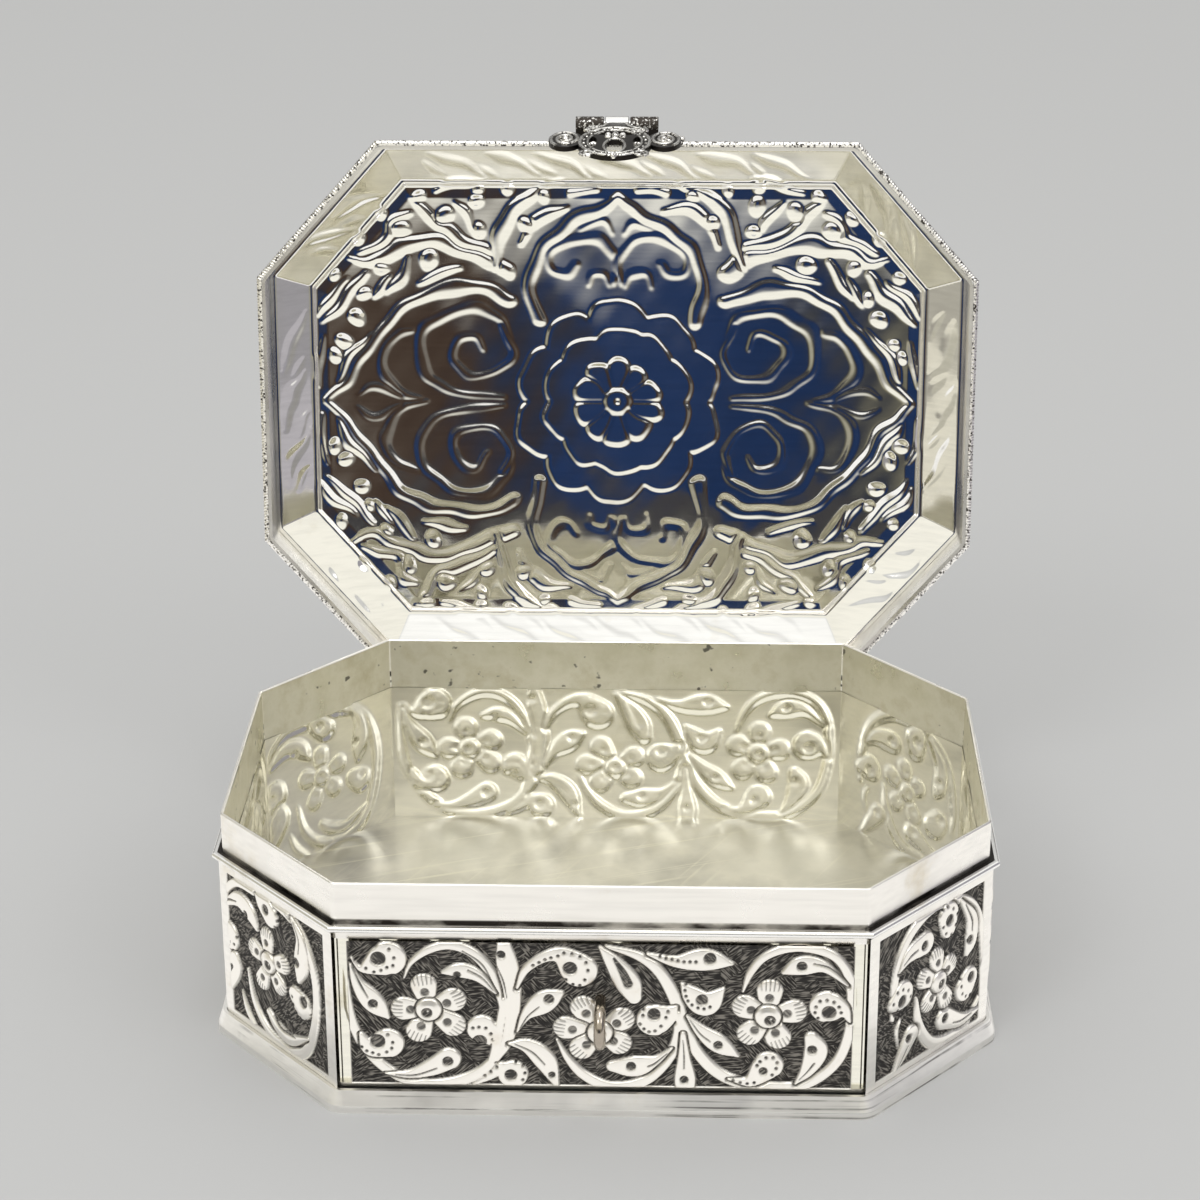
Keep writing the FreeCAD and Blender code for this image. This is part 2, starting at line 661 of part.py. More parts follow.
def make_foot_band():
    """A flared band with an under-lip that carries the wall's lower edge."""
    body = new_body("foot_band")
    block = pad(body, octagon(body, "foot_outline", "foot_outer", None), "foot_height")
    block = round_corners(body, block, "foot_outer")
    flare = body.newObject("PartDesign::Chamfer", "foot_flare")
    flare.ChamferType = "Two distances"
    edges = edge_names(block, lambda edge: is_outer_edge_at(edge, "foot_height", "foot_seat"))
    flare.Base = (block, edges)
    bind(flare, "Size", "foot_bevel_down")
    bind(flare, "Size2", "foot_bevel_in")
    doc.recompute()
    seat = pocket(body, octagon(body, "foot_wall_seat", "foot_seat", "foot_lip_thickness"), reverse=True)
    round_corners(body, seat, "foot_seat")
    pocket(body, octagon(body, "foot_opening", "foot_hollow", None), reverse=True)
    return body


def add_panel(body, name, role, lift, half_width):
    """Sinks the chased field of one flat of the wall below its plain margins."""
    sketch = sketch_on(body, name, role, lift)
    low, high = "panel_low", "panel_high"
    corners = [(f"-{half_width}", low), (half_width, low), (half_width, high), (f"-{half_width}", high)]
    add_outline(sketch, corners)
    return sketch


def on_field(share, half_width, way=1):
    """The place in a field's sketch of a point given as shares from the field's middle."""
    along = worth("panel_mid") + share[1] * worth("panel_half_z")
    return FreeCAD.Vector(way * share[0] * worth(half_width), along, 0)


def draw_ornament(sketch, half_width, scrolls, flowers, way=1):
    for scroll in scrolls:
        add_band(sketch, [on_field(share, half_width, way) for share in scroll], worth("scroll_band_half"))
    for across, along, turn, size in flowers:
        heart = on_field((across, along), half_width, way)
        add_flower(sketch, heart, turn, size * worth(half_width))


def make_side_wall():
    """The folded strip: sunk fields on all eight flats, with scrolls and flowers left standing in them."""
    body = new_body("side_wall")
    ring(body, "wall", "wall_outer", "wall_inner", "wall_low", "wall_rise")
    front = add_panel(body, "front_field", "XZ_Plane", "front_face", "panel_half_x")
    mirror(body, pocket(body, front, "panel_depth"), "XZ_Plane")
    end = add_panel(body, "end_field", "YZ_Plane", "end_face", "panel_half_y")
    mirror(body, pocket(body, end, "panel_depth"), "YZ_Plane")
    for side in (1, -1):
        for way in (1, -1):
            corner_field(body, side, way)
    chased = sketch_on(body, "front_ornament", "XZ_Plane", "front_floor")
    draw_ornament(chased, "panel_half_x", FRONT_SCROLLS, FRONT_FLOWERS)
    mirror(body, pad(body, chased, "ornament_rise"), "XZ_Plane")
    # The back has its hinge where the front's middle scroll passes.
    middle = sketch_on(body, "front_middle_scroll", "XZ_Plane", "front_floor")
    draw_ornament(middle, "panel_half_x", [FRONT_MIDDLE_SCROLL], [])
    pad(body, middle, "ornament_rise")
    chased = sketch_on(body, "end_ornament", "YZ_Plane", "end_floor")
    for way in (1, -1):
        draw_ornament(chased, "panel_half_y", [END_SCROLL], [END_FLOWER], way)
    mirror(body, pad(body, chased, "ornament_rise"), "YZ_Plane")
    back_cut(body, "wall_hinge_notch", "notch_low", "above_wall", "wall_notch_depth")
    holes = sketch_on(body, "staple_holes", "XZ_Plane", "front_reach")
    for level in ("staple_top", "staple_bottom"):
        add_circle(holes, "0", level, "staple_hole")
    pocket(body, holes, "wall_cut")
    return body


def corner_field(body, side, way):
    """The sunk field of the cut corner on one side (X) and way (Y)."""
    name = f"corner_field_{'right' if side > 0 else 'left'}_{'back' if way > 0 else 'front'}"
    sketch = add_panel(body, name, "XZ_Plane", None, "panel_half_slant")
    turn_to_corner(sketch, side, way, "mid")
    pocket(body, sketch, "panel_depth")
    chased = sketch_on(body, f"{name}_ornament", "XZ_Plane")
    turn_to_corner(chased, side, way, "floor")
    draw_ornament(chased, "panel_half_slant", CORNER_SCROLLS[side], [CORNER_FLOWERS[side]], -way)
    pad(body, chased, "ornament_rise")


def turn_to_corner(sketch, side, way, level):
    """Turns a front sketch to a cut corner's outward normal, at the wall's face or the field's floor."""
    turn = f"{side} * dims.corner_angle" if way < 0 else f"{side} * (180 deg - dims.corner_angle)"
    middle = f"vector({side} * dims.corner_{level}_x; 0; -{way} * dims.corner_{level}_y)"
    sketch.setExpression("AttachmentOffset", f"placement({middle}; rotation(vector(0; 1; 0); {turn}))")


def make_wall_rim_bead():
    body = new_body("wall_rim_bead")
    bead = mitred_ring(body, "bead", "bead_outer", "bead_seat", "bead_low", "bead_height")
    levels = ("bead_low", "wall_height")
    edges = edge_names(bead, lambda edge: any(is_outer_edge_at(edge, z, "bead_rim") for z in levels))
    round_edges(body, bead, edges, "bead_rounding")
    back_cut(body, "bead_hinge_gap", "below_bead", "above_wall", "wall_notch_depth")
    return body


def make_collar():
    body = new_body("collar")
    strip = ring(body, "collar", "collar_outer", "collar_inner", "collar_low", "collar_height")
    edges = edge_names(strip, lambda edge: is_outer_edge_at(edge, "collar_top", "collar_rim"))
    bevel = body.newObject("PartDesign::Chamfer", "collar_edge")
    bevel.Base = (strip, edges)
    bind(bevel, "Size", "collar_edge_bevel")
    doc.recompute()
    return body


def make_staple():
    """A U of round wire: two legs through the wall, joined by a half circle in front of it."""
    body = new_body("staple")
    path = sketch_on(body, "staple_path", "YZ_Plane")
    root, turn = -worth("staple_root"), -worth("staple_turn")
    top, bottom = worth("staple_top"), worth("staple_bottom")
    spots = [FreeCAD.Vector(root, top, 0), FreeCAD.Vector(turn, top, 0)]
    spots += [FreeCAD.Vector(turn, bottom, 0), FreeCAD.Vector(root, bottom, 0)]
    tip = FreeCAD.Vector(turn - worth("staple_bend"), worth("staple_level"), 0)
    upper = path.addGeometry(Part.LineSegment(spots[0], spots[1]), False)
    bend = path.addGeometry(Part.Arc(spots[1], tip, spots[2]), False)
    lower = path.addGeometry(Part.LineSegment(spots[2], spots[3]), False)
    path.addConstraint(Sketcher.Constraint("Tangent", upper, END, bend, START))
    path.addConstraint(Sketcher.Constraint("Coincident", bend, END, lower, START))
    tie_point(path, upper, START, "-staple_root", "staple_top")
    tie_point(path, upper, END, "-staple_turn", "staple_top")
    tie_point(path, lower, START, "-staple_turn", "staple_bottom")
    tie_point(path, lower, END, "-staple_root", "staple_bottom")
    section = sketch_on(body, "staple_section", "XZ_Plane", "staple_root")
    add_circle(section, "0", "staple_top", "staple_radius")
    doc.recompute()
    wire = body.newObject("PartDesign::AdditivePipe", "staple_wire")
    wire.Profile = section
    wire.Spine = path
    doc.recompute()
    return body


def make_hinge_body_leaf():
    """The leaf on the wall's back, with two knuckles and room between them for the lid's."""
    body = new_body("hinge_body_leaf")
    sketch = sketch_on(body, "body_leaf_outline", "XZ_Plane", "-body_leaf_face")
    corners = [("-hinge_half", "body_leaf_low"), ("hinge_half", "body_leaf_low")]
    corners += [("hinge_half", "hinge_level"), ("body_knuckle_start", "hinge_level")]
    corners += [("body_knuckle_start", "notch_low")]
    corners += [("-body_knuckle_start", "notch_low"), ("-body_knuckle_start", "hinge_level")]
    corners += [("-hinge_half", "hinge_level")]
    add_outline(sketch, corners)
    pad(body, sketch, "hinge_leaf_thickness", reverse=True)
    knuckle = rod_along(
        body, "body_knuckle", "hinge_y", "hinge_level", "hinge_knuckle_radius",
        "body_knuckle_start", "body_knuckle_length",
    )
    mirror(body, knuckle, "YZ_Plane")
    bore_along(body, "body_knuckle_bore", "hinge_y", "hinge_level", "hinge_bore")
    return body


def make_hinge_lid_leaf():
    """The leaf on the lid's back, with the centre knuckle."""
    body = new_body("hinge_lid_leaf")
    sketch = sketch_on(body, "lid_leaf_outline", "XZ_Plane", "-lid_leaf_face")
    corners = [("-hinge_half", "notch_high"), ("-lid_knuckle_half", "notch_high")]
    corners += [("-lid_knuckle_half", "hinge_level"), ("lid_knuckle_half", "hinge_level")]
    corners += [("lid_knuckle_half", "notch_high"), ("hinge_half", "notch_high")]
    corners += [("hinge_half", "lid_leaf_top"), ("-hinge_half", "lid_leaf_top")]
    add_outline(sketch, corners)
    pad(body, sketch, "hinge_leaf_thickness", reverse=True)
    rod_along(
        body, "lid_knuckle", "hinge_y", "hinge_level", "hinge_knuckle_radius",
        length="hinge_lid_knuckle", both_ways=True,
    )
    bore_along(body, "lid_knuckle_bore", "hinge_y", "hinge_level", "hinge_bore")
    open_with_lid(body)
    return body


def make_hinge_pin():
    body = new_body("hinge_pin")
    rod_along(
        body, "hinge_pin_section", "hinge_y", "hinge_level", "hinge_pin_radius",
        length="hinge_width", both_ways=True,
    )
    return body


def draw_lid_ornament(sketch, rosette, lobe, vine):
    """The rosette, the four pointed lobes and the corner vines, each given by a cell for its width."""
    add_scallops(sketch, worth(rosette))
    for bands, width in ((LID_LOBES, lobe), (LID_VINES, vine)):
        for band in bands:
            for side in (1, -1):
                for way in (1, -1):
                    reach = (side * worth("lid_half_x"), way * worth("lid_half_y"))
                    spots = [FreeCAD.Vector(x * reach[0], y * reach[1], 0) for x, y in band]
                    add_band(sketch, spots, worth(width))


def make_lid_top():
    """The pressed sheet: shoulder, sloping border, ridge, and a field with bands that are hollow behind."""
    body = new_body("lid_top")
    shoulder = pad(body, octagon(body, "shoulder_outline", "skirt_outer", "lid_seat"), "lid_sheet")
    round_corners(body, shoulder, "skirt_outer")
    foot = octagon(body, "border_foot_outline", "border_foot", "shoulder_top")
    head = octagon(body, "border_head_outline", "border_head", "border_top")
    loft(body, "AdditiveLoft", foot, head)
    pad(body, octagon(body, "ridge_outline", "border_head", "border_top"), "ridge_rise")
    pocket(body, octagon(body, "field_outline", "ridge_inner", "ridge_top"), "field_sink")
    low = octagon(body, "hollow_low_outline", "hollow_foot", "lid_seat")
    high = octagon(body, "hollow_high_outline", "hollow_head", "field_under")
    loft(body, "SubtractiveLoft", low, high)
    groove = octagon(body, "ridge_groove", "groove_outer", "field_under")
    add_octagon(groove, "groove_inner")
    pocket(body, groove, "groove_depth", reverse=True)
    raised = sketch_on(body, "lid_ornament", "XY_Plane", "field_top")
    draw_lid_ornament(raised, "rosette_lobe_radius", "lobe_band_half", "vine_band_half")
    pad(body, raised, "lid_ornament_rise")
    hollow = sketch_on(body, "lid_ornament_hollows", "XY_Plane", "field_under")
    draw_lid_ornament(hollow, "rosette_hollow_radius", "lobe_hollow_half", "vine_hollow_half")
    pocket(body, hollow, "lid_ornament_hollow", reverse=True)
    open_with_lid(body)
    return body


def make_lid_skirt():
    body = new_body("lid_skirt")
    ring(body, "skirt", "skirt_outer", "skirt_inner", "lid_edge", "skirt_height")
    back_cut(body, "skirt_hinge_notch", "below_edge", "notch_high", "skirt_notch_depth")
    open_with_lid(body)
    return body


def make_lid_edge_wire():
    body = new_body("lid_edge_wire")
    wire = mitred_ring(body, "wire", "wire_outer", "wire_seat", "lid_edge", "edge_wire_height")
    levels = ("lid_edge", "wire_top")
    edges = edge_names(wire, lambda edge: any(is_outer_edge_at(edge, z, "wire_rim") for z in levels))
    round_edges(body, wire, edges, "edge_wire_rounding")
    back_cut(body, "wire_hinge_gap", "below_edge", "above_wire", "skirt_notch_depth")
    open_with_lid(body)
    return body


def make_hasp_bracket():
    """The fixed plate of the hasp: eyed wings on the skirt, a web and two knuckles out in front."""
    body = new_body("hasp_bracket")
    plate = sketch_on(body, "bracket_outline", "XZ_Plane", "bracket_face")
    ends = [("-bracket_end_x", "bracket_mid"), ("bracket_end_x", "bracket_mid")]
    add_stadium(plate, *ends, "bracket_end_radius")
    pad(body, plate, "hasp_plate_thickness")
    eyes = sketch_on(body, "bracket_eyes", "XZ_Plane", "bracket_face")
    for across in ("-bracket_end_x", "bracket_end_x"):
        add_circle(eyes, across, "bracket_mid", "hasp_plate_eye")
    pocket(body, eyes, "hasp_plate_thickness", reverse=True)
    web = sketch_on(body, "bracket_web", "YZ_Plane")
    corners = [("-hasp_out", "web_low"), ("-bracket_face", "web_low")]
    corners += [("-bracket_face", "web_top"), ("-hasp_out", "web_top")]
    add_outline(web, corners)
    pad(body, web, "hasp_width", both_ways=True)
    room = sketch_on(body, "leaf_knuckle_room", "YZ_Plane")
    add_circle(room, "-hasp_out", "hasp_level", "hasp_room")
    pocket(body, room, "bracket_gap", both_ways=True)
    knuckle = rod_along(
        body, "bracket_knuckle", "-hasp_out", "hasp_level", "hasp_knuckle_radius",
        "bracket_knuckle_start", "bracket_knuckle_length",
    )
    mirror(body, knuckle, "YZ_Plane")
    bore_along(body, "bracket_bore", "-hasp_out", "hasp_level", "hasp_bore")
    open_with_lid(body)
    return body


def make_hasp_pin():
    body = new_body("hasp_pin")
    rod_along(
        body, "hasp_pin_section", "-hasp_out", "hasp_level", "hasp_pin_radius",
        length="hasp_width", both_ways=True,
    )
    open_with_lid(body)
    return body


def make_hasp_leaf():
    """The openwork leaf: neck, oval medallion, a scroll at each side and the slot for the staple."""
    body = new_body("hasp_leaf")
    medallion = sketch_on(body, "medallion_outline", "XZ_Plane", "leaf_face")
    add_ellipse(medallion, "0", "medallion_level", "medallion_width", "medallion_height")
    pad(body, medallion, "hasp_leaf_thickness")
    scroll = sketch_on(body, "scroll_outline", "XZ_Plane", "leaf_face")
    add_ellipse(scroll, "scroll_spread", "scroll_level", "scroll_width", "scroll_height")
    mirror(body, pad(body, scroll, "hasp_leaf_thickness"), "YZ_Plane")
    neck = sketch_on(body, "neck_outline", "XZ_Plane", "leaf_face")
    corners = [("-leaf_knuckle_half", "neck_level"), ("leaf_knuckle_half", "neck_level")]
    corners += [("leaf_knuckle_half", "hasp_level"), ("-leaf_knuckle_half", "hasp_level")]
    add_outline(neck, corners)
    pad(body, neck, "hasp_leaf_thickness")
    rod_along(
        body, "leaf_knuckle", "-hasp_out", "hasp_level", "hasp_knuckle_radius",
        length="hasp_leaf_knuckle", both_ways=True,
    )
    bore_along(body, "leaf_knuckle_bore", "-hasp_out", "hasp_level", "hasp_bore")
    eye = sketch_on(body, "scroll_eye", "XZ_Plane", "leaf_face")
    add_ellipse(eye, "scroll_spread", "scroll_level", "scroll_eye_width", "scroll_eye_height")
    mirror(body, pocket(body, eye, "hasp_leaf_thickness", reverse=True), "YZ_Plane")
    pierced = sketch_on(body, "medallion_piercing", "XZ_Plane", "leaf_face")
    add_stadium(pierced, ("0", "slot_lower"), ("0", "slot_upper"), "slot_end_radius")
    add_stadium(pierced, ("-crest_spread", "crest_level"), ("crest_spread", "crest_level"), "crest_radius")
    for across in ("-side_opening_spread", "side_opening_spread"):
        add_ellipse(pierced, across, "medallion_level", "side_opening_width", "side_opening_height")
    pocket(body, pierced, "hasp_leaf_thickness", reverse=True)
    open_with_lid(body, droop=True)
    return body


MAKERS = [
    make_floor_plate,
    make_foot_band,
    make_side_wall,
    make_wall_rim_bead,
    make_collar,
    make_staple,
    make_hinge_body_leaf,
    make_hinge_pin,
    make_lid_top,
    make_lid_skirt,
    make_lid_edge_wire,
    make_hinge_lid_leaf,
    make_hasp_bracket,
    make_hasp_pin,
    make_hasp_leaf,
]

pieces = [make() for make in MAKERS]
doc.recompute()

for thing in doc.Objects:
    if "Invalid" in thing.State or "Error" in thing.State:
        raise RuntimeError(f"{thing.Label} did not build")
for piece in pieces:
    if piece.Shape.isNull() or not piece.Shape.isValid():
        raise RuntimeError(f"{piece.Label} has no sound shape")
    if len(piece.Shape.Solids) != 1:
        raise RuntimeError(f"{piece.Label} is not one solid")

os.makedirs("parts", exist_ok=True)
for piece in pieces:
    piece.Shape.exportStep(f"parts/{piece.Label}.step")
    box = piece.Shape.BoundBox
    extents = f"{box.XLength:.1f} x {box.YLength:.1f} x {box.ZLength:.1f}"
    print(f"{piece.Label}: {piece.Shape.Volume:.1f} mm3, {extents}")
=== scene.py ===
# %% [markdown]
# # A chased nickel silver box
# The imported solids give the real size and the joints. This lesson dresses them: the chased ornament of the
# walls and the lid, the openwork hasp, the milled lid edge and the finish of each metal surface.

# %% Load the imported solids
import math
import bpy
import numpy as np
from mathutils import Matrix, Vector


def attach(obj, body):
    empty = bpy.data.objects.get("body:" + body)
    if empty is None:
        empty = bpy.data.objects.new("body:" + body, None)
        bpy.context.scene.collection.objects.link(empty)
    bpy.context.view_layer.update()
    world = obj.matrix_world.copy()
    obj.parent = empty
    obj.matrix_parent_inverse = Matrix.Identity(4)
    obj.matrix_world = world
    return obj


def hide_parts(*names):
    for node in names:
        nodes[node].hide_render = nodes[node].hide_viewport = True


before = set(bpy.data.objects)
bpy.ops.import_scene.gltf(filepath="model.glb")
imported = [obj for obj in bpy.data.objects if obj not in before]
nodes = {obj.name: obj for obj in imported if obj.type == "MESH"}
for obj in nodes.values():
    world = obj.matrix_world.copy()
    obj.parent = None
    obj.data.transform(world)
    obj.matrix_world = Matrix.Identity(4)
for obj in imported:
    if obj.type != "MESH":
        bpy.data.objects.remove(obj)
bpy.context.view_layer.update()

bpy.context.scene.view_settings.view_transform = "Standard"
bpy.ops.object.select_all(action="DESELECT")
MM = 0.001

# %% [markdown]
# ## Camera
# The photograph looks down on the front of the box by about 23 degrees with a long lens. The same place and
# lens are used here, so that a point of the picture is also a line of sight into the scene. The ornament
# below is drawn with such lines.

# %% Camera
PICTURE = 1200.0
FOCAL = 3063.0
EYE = np.array([16.305, -559.05, 320.22])
YAW, PITCH, ROLL = 0.0320, 0.4024, -0.0042

right = np.array([math.cos(YAW), math.sin(YAW), 0.0])
ahead = np.array([-math.sin(YAW) * math.cos(PITCH), math.cos(YAW) * math.cos(PITCH), -math.sin(PITCH)])
above = np.cross(right, ahead)
eye_right = math.cos(ROLL) * right + math.sin(ROLL) * above
eye_up = math.cos(ROLL) * above - math.sin(ROLL) * right

bpy.ops.object.camera_add(location=EYE * MM)
camera = bpy.context.object
camera.name = "camera"
camera.rotation_euler = Matrix((eye_right, eye_up, -ahead)).transposed().to_euler()
camera.data.sensor_width = 36.0
camera.data.lens = FOCAL / PICTURE * camera.data.sensor_width
camera.data.clip_start = 0.01
bpy.context.scene.camera = camera
print("lens", round(camera.data.lens, 2), "mm")


def sight(across, down, spot, facing):
    """Where the line of sight through a picture point meets a plane, in millimetres."""
    line = ahead + (across - PICTURE / 2) / FOCAL * eye_right - (down - PICTURE / 2) / FOCAL * eye_up
    reach = np.dot(np.subtract(spot, EYE), facing) / np.dot(line, facing)
    return EYE + reach * line


# %% [markdown]
# ## Shader helpers
# Stage and metals are built from the same few shader nodes: noise, ramps, mixes and bumps. These functions
# make them, so that the finishes below read as recipes.

# %% Shader helpers


def new_finish(name):
    """A material, its node tree and its Principled shader."""
    made = bpy.data.materials.new(name)
    made.use_nodes = True
    return made, made.node_tree, made.node_tree.nodes["Principled BSDF"]


def node(tree, kind, **settings):
    """A shader node with the given input values and settings."""
    made = tree.nodes.new(kind)
    for key, value in settings.items():
        if key in made.inputs:
            made.inputs[key].default_value = value
        else:
            setattr(made, key, value)
    return made


def noise(tree, scale, detail=4.0, stretch=(1.0, 1.0, 1.0), roughness=0.5, turn=(0.0, 0.0, 0.0)):
    """Noise on object coordinates, stretched to make grain or scratches."""
    place = node(tree, "ShaderNodeTexCoord")
    spread = [1.0 / share for share in stretch]
    mapping = node(tree, "ShaderNodeMapping", vector_type="TEXTURE", Scale=spread, Rotation=turn)
    made = node(tree, "ShaderNodeTexNoise", Scale=scale, Detail=detail, Roughness=roughness)
    tree.links.new(place.outputs["Object"], mapping.inputs["Vector"])
    tree.links.new(mapping.outputs["Vector"], made.inputs["Vector"])
    return made.outputs["Fac"]


def ramp(tree, source, stops):
    """A colour ramp from a list of place and colour or grey value."""
    made = node(tree, "ShaderNodeValToRGB")
    points = made.color_ramp.elements
    while len(points) < len(stops):
        points.new(0.5)
    for point, (place, colour) in zip(points, stops):
        point.position = place
        point.color = (*colour, 1.0) if isinstance(colour, tuple) else (colour, colour, colour, 1.0)
    tree.links.new(source, made.inputs["Fac"])
    return made.outputs["Color"]


def blend(tree, share, first, second, kind="MIX"):
    """Mixes two colours, each a socket or a colour, by a share, which is a socket or a number."""
    made = node(tree, "ShaderNodeMix", data_type="RGBA", blend_type=kind)
    for name, value in (("A", first), ("B", second)):
        socket = next(s for s in made.inputs if s.name == name and s.type == "RGBA")
        if isinstance(value, tuple):
            socket.default_value = (*value, 1.0)
        else:
            tree.links.new(value, socket)
    if isinstance(share, float):
        made.inputs["Factor"].default_value = share
    else:
        tree.links.new(share, made.inputs["Factor"])
    return next(s for s in made.outputs if s.type == "RGBA")


def bump(tree, shader, height, strength, distance):
    """Lets a height, a socket, roughen the shading without moving the surface."""
    made = node(tree, "ShaderNodeBump", Strength=strength, Distance=distance)
    tree.links.new(height, made.inputs["Height"])
    tree.links.new(made.outputs["Normal"], shader.inputs["Normal"])


def own_place(tree, axis):
    """One coordinate of a surface point on its own object, in metres."""
    place = node(tree, "ShaderNodeTexCoord")
    split = node(tree, "ShaderNodeSeparateXYZ")
    tree.links.new(place.outputs["Object"], split.inputs["Vector"])
    return split.outputs[axis]


def share_between(tree, source, low, high):
    """How far a value has come from low to high, from 0 to 1."""
    made = node(tree, "ShaderNodeMapRange", **{"From Min": low, "From Max": high})
    tree.links.new(source, made.inputs["Value"])
    return made.outputs["Result"]


# %% [markdown]
# ## Stage and light
# Polished metal has no colour of its own to speak of: it shows the room. A plain pale floor and a sky that
# brightens upwards give the soft level, three large lamps give the form, and cards that only reflections see
# play the parts of the white table round the box and of the dark room behind the camera.

# %% Floor and sky
bpy.ops.mesh.primitive_plane_add(size=12.0, location=(0.0, 0.0, 0.0))
floor = bpy.context.object
floor.name = "studio_floor"
floor_paint, _, paint_shader = new_finish("floor_paint")
paint_shader.inputs["Base Color"].default_value = (0.53, 0.53, 0.53, 1.0)
paint_shader.inputs["Roughness"].default_value = 0.9
paint_shader.inputs["Specular IOR Level"].default_value = 0.0
floor.data.materials.append(floor_paint)

SKY_GREYS = [(0.0, 0.14), (0.3, 0.34), (0.7, 1.06)]
sky = bpy.data.worlds.new("studio_sky")
bpy.context.scene.world = sky
sky.use_nodes = True
sky_tree = sky.node_tree
sky_place = node(sky_tree, "ShaderNodeTexCoord")
sky_split = node(sky_tree, "ShaderNodeSeparateXYZ")
sky_tree.links.new(sky_place.outputs["Generated"], sky_split.inputs["Vector"])
sky_stops = [(height, (grey, grey, grey * 0.98)) for height, grey in SKY_GREYS]
sky_colour = ramp(sky_tree, sky_split.outputs["Z"], sky_stops)
sky_tree.links.new(sky_colour, sky_tree.nodes["Background"].inputs["Color"])
sky_tree.nodes["Background"].inputs["Strength"].default_value = 1.0

# %% Lamps
LAMP_AIM = Vector((0.0, 0.0, 0.06))


def soft_lamp(name, place, size, power):
    """A square area lamp that faces the middle of the box."""
    bpy.ops.object.light_add(type="AREA", location=place)
    lamp = bpy.context.object
    lamp.name = name
    lamp.data.size = size
    lamp.data.energy = power
    lamp.rotation_euler = (LAMP_AIM - Vector(place)).to_track_quat("-Z", "Y").to_euler()


soft_lamp("key_lamp", (-1.1, -1.6, 1.9), 0.8, 8.0)
soft_lamp("fill_lamp", (1.5, -1.2, 1.6), 0.8, 4.0)
soft_lamp("top_lamp", (0.1, -0.3, 2.2), 0.9, 7.0)
print("floor, sky and lamps ready")

# %% Cards for the reflections


def plain_emission(name, colour):
    """A material that only shines, for cards."""
    made = bpy.data.materials.new(name)
    made.use_nodes = True
    tree = made.node_tree
    tree.nodes.clear()
    glow = node(tree, "ShaderNodeEmission", Color=(*colour, 1.0))
    out = node(tree, "ShaderNodeOutputMaterial")
    tree.links.new(glow.outputs["Emission"], out.inputs["Surface"])
    return made


def glossy_card(name, corners, paint):
    """A flat card that only reflections see, so it adds no light and hides nothing."""
    bpy.ops.mesh.primitive_plane_add(size=1.0)
    card = bpy.context.object
    card.name = name
    for vertex, place in zip(card.data.vertices, (corners[0], corners[1], corners[3], corners[2])):
        vertex.co = Vector(place) * MM
    card.data.materials.append(paint)
    card.visible_camera = False
    card.visible_diffuse = False
    card.visible_shadow = False
    card.visible_transmission = False


ROOM_REACH, ROOM_HEIGHT, ROOM_Y = 600.0, 430.0, -500.0
TABLE_SIDE, TABLE_NEAR, TABLE_FAR, TABLE_LEVEL = 235, -300, 420, 0.6
BOX_SIDE, BOX_DEEP = 80, 61
TABLE_WHITE = (0.97, 0.96, 0.94)


def table_card(name, left, near, right_side, far, colour=TABLE_WHITE):
    """A piece of the table, just above the floor."""
    plan = [(left, near), (right_side, near), (right_side, far), (left, far)]
    corners = [(x, y, TABLE_LEVEL) for x, y in plan]
    glossy_card(name, corners, plain_emission(name + "_paint", colour))


table_card("white_table_left", -TABLE_SIDE, TABLE_NEAR, -BOX_SIDE, TABLE_FAR)
table_card("white_table_right", BOX_SIDE, TABLE_NEAR, TABLE_SIDE, TABLE_FAR)
table_card("white_table_front", -BOX_SIDE, TABLE_NEAR, BOX_SIDE, -BOX_DEEP)
table_card("white_table_back", -BOX_SIDE, BOX_DEEP, BOX_SIDE, TABLE_FAR)
table_card("pale_table_left", -ROOM_REACH, ROOM_Y, -TABLE_SIDE, TABLE_FAR, (0.74, 0.71, 0.60))
table_card("grey_table_right", TABLE_SIDE, ROOM_Y, ROOM_REACH, TABLE_FAR, (0.46, 0.44, 0.47))
table_card("dark_table_front", -TABLE_SIDE, ROOM_Y, TABLE_SIDE, TABLE_NEAR, (0.05, 0.048, 0.05))

# %% [markdown]
# The open lid looks straight at the room behind the camera: dark brown on the left, dark blue in the middle
# and pale above. One upright card carries that room as two colour ramps, one across and one up.

# %% The room behind the camera
ROOM_ACROSS = [
    (-590, (0.45, 0.43, 0.37)), (-230, (0.20, 0.19, 0.17)), (-160, (0.16, 0.14, 0.12)),
    (-125, (0.070, 0.050, 0.038)), (-85, (0.050, 0.032, 0.023)), (-48, (0.026, 0.030, 0.048)),
    (-20, (0.016, 0.036, 0.105)), (55, (0.012, 0.028, 0.082)), (85, (0.035, 0.038, 0.048)),
    (115, (0.16, 0.15, 0.11)), (150, (0.36, 0.34, 0.26)), (260, (0.30, 0.29, 0.27)),
    (590, (0.33, 0.32, 0.35)),
]
ROOM_UP = [(0, 0.0), (88, 0.0), (112, 0.25), (132, 0.7), (158, 1.0)]
ROOM_PALE = (0.95, 0.93, 0.84)
SIDE_WALL_END = 300.0


def room_paint(name):
    """An emission that reads the card's own place through the two ramps."""
    made = plain_emission(name, (1.0, 1.0, 1.0))
    tree = made.node_tree
    ramps = []
    ways = (("X", -ROOM_REACH, ROOM_REACH, ROOM_ACROSS), ("Z", 0.0, ROOM_HEIGHT, ROOM_UP))
    for axis, low, high, stops in ways:
        share = share_between(tree, own_place(tree, axis), low * MM, high * MM)
        ramps.append(ramp(tree, share, [((spot - low) / (high - low), colour) for spot, colour in stops]))
    across, up = ramps
    tree.links.new(blend(tree, up, across, ROOM_PALE), tree.nodes["Emission"].inputs["Color"])
    return made


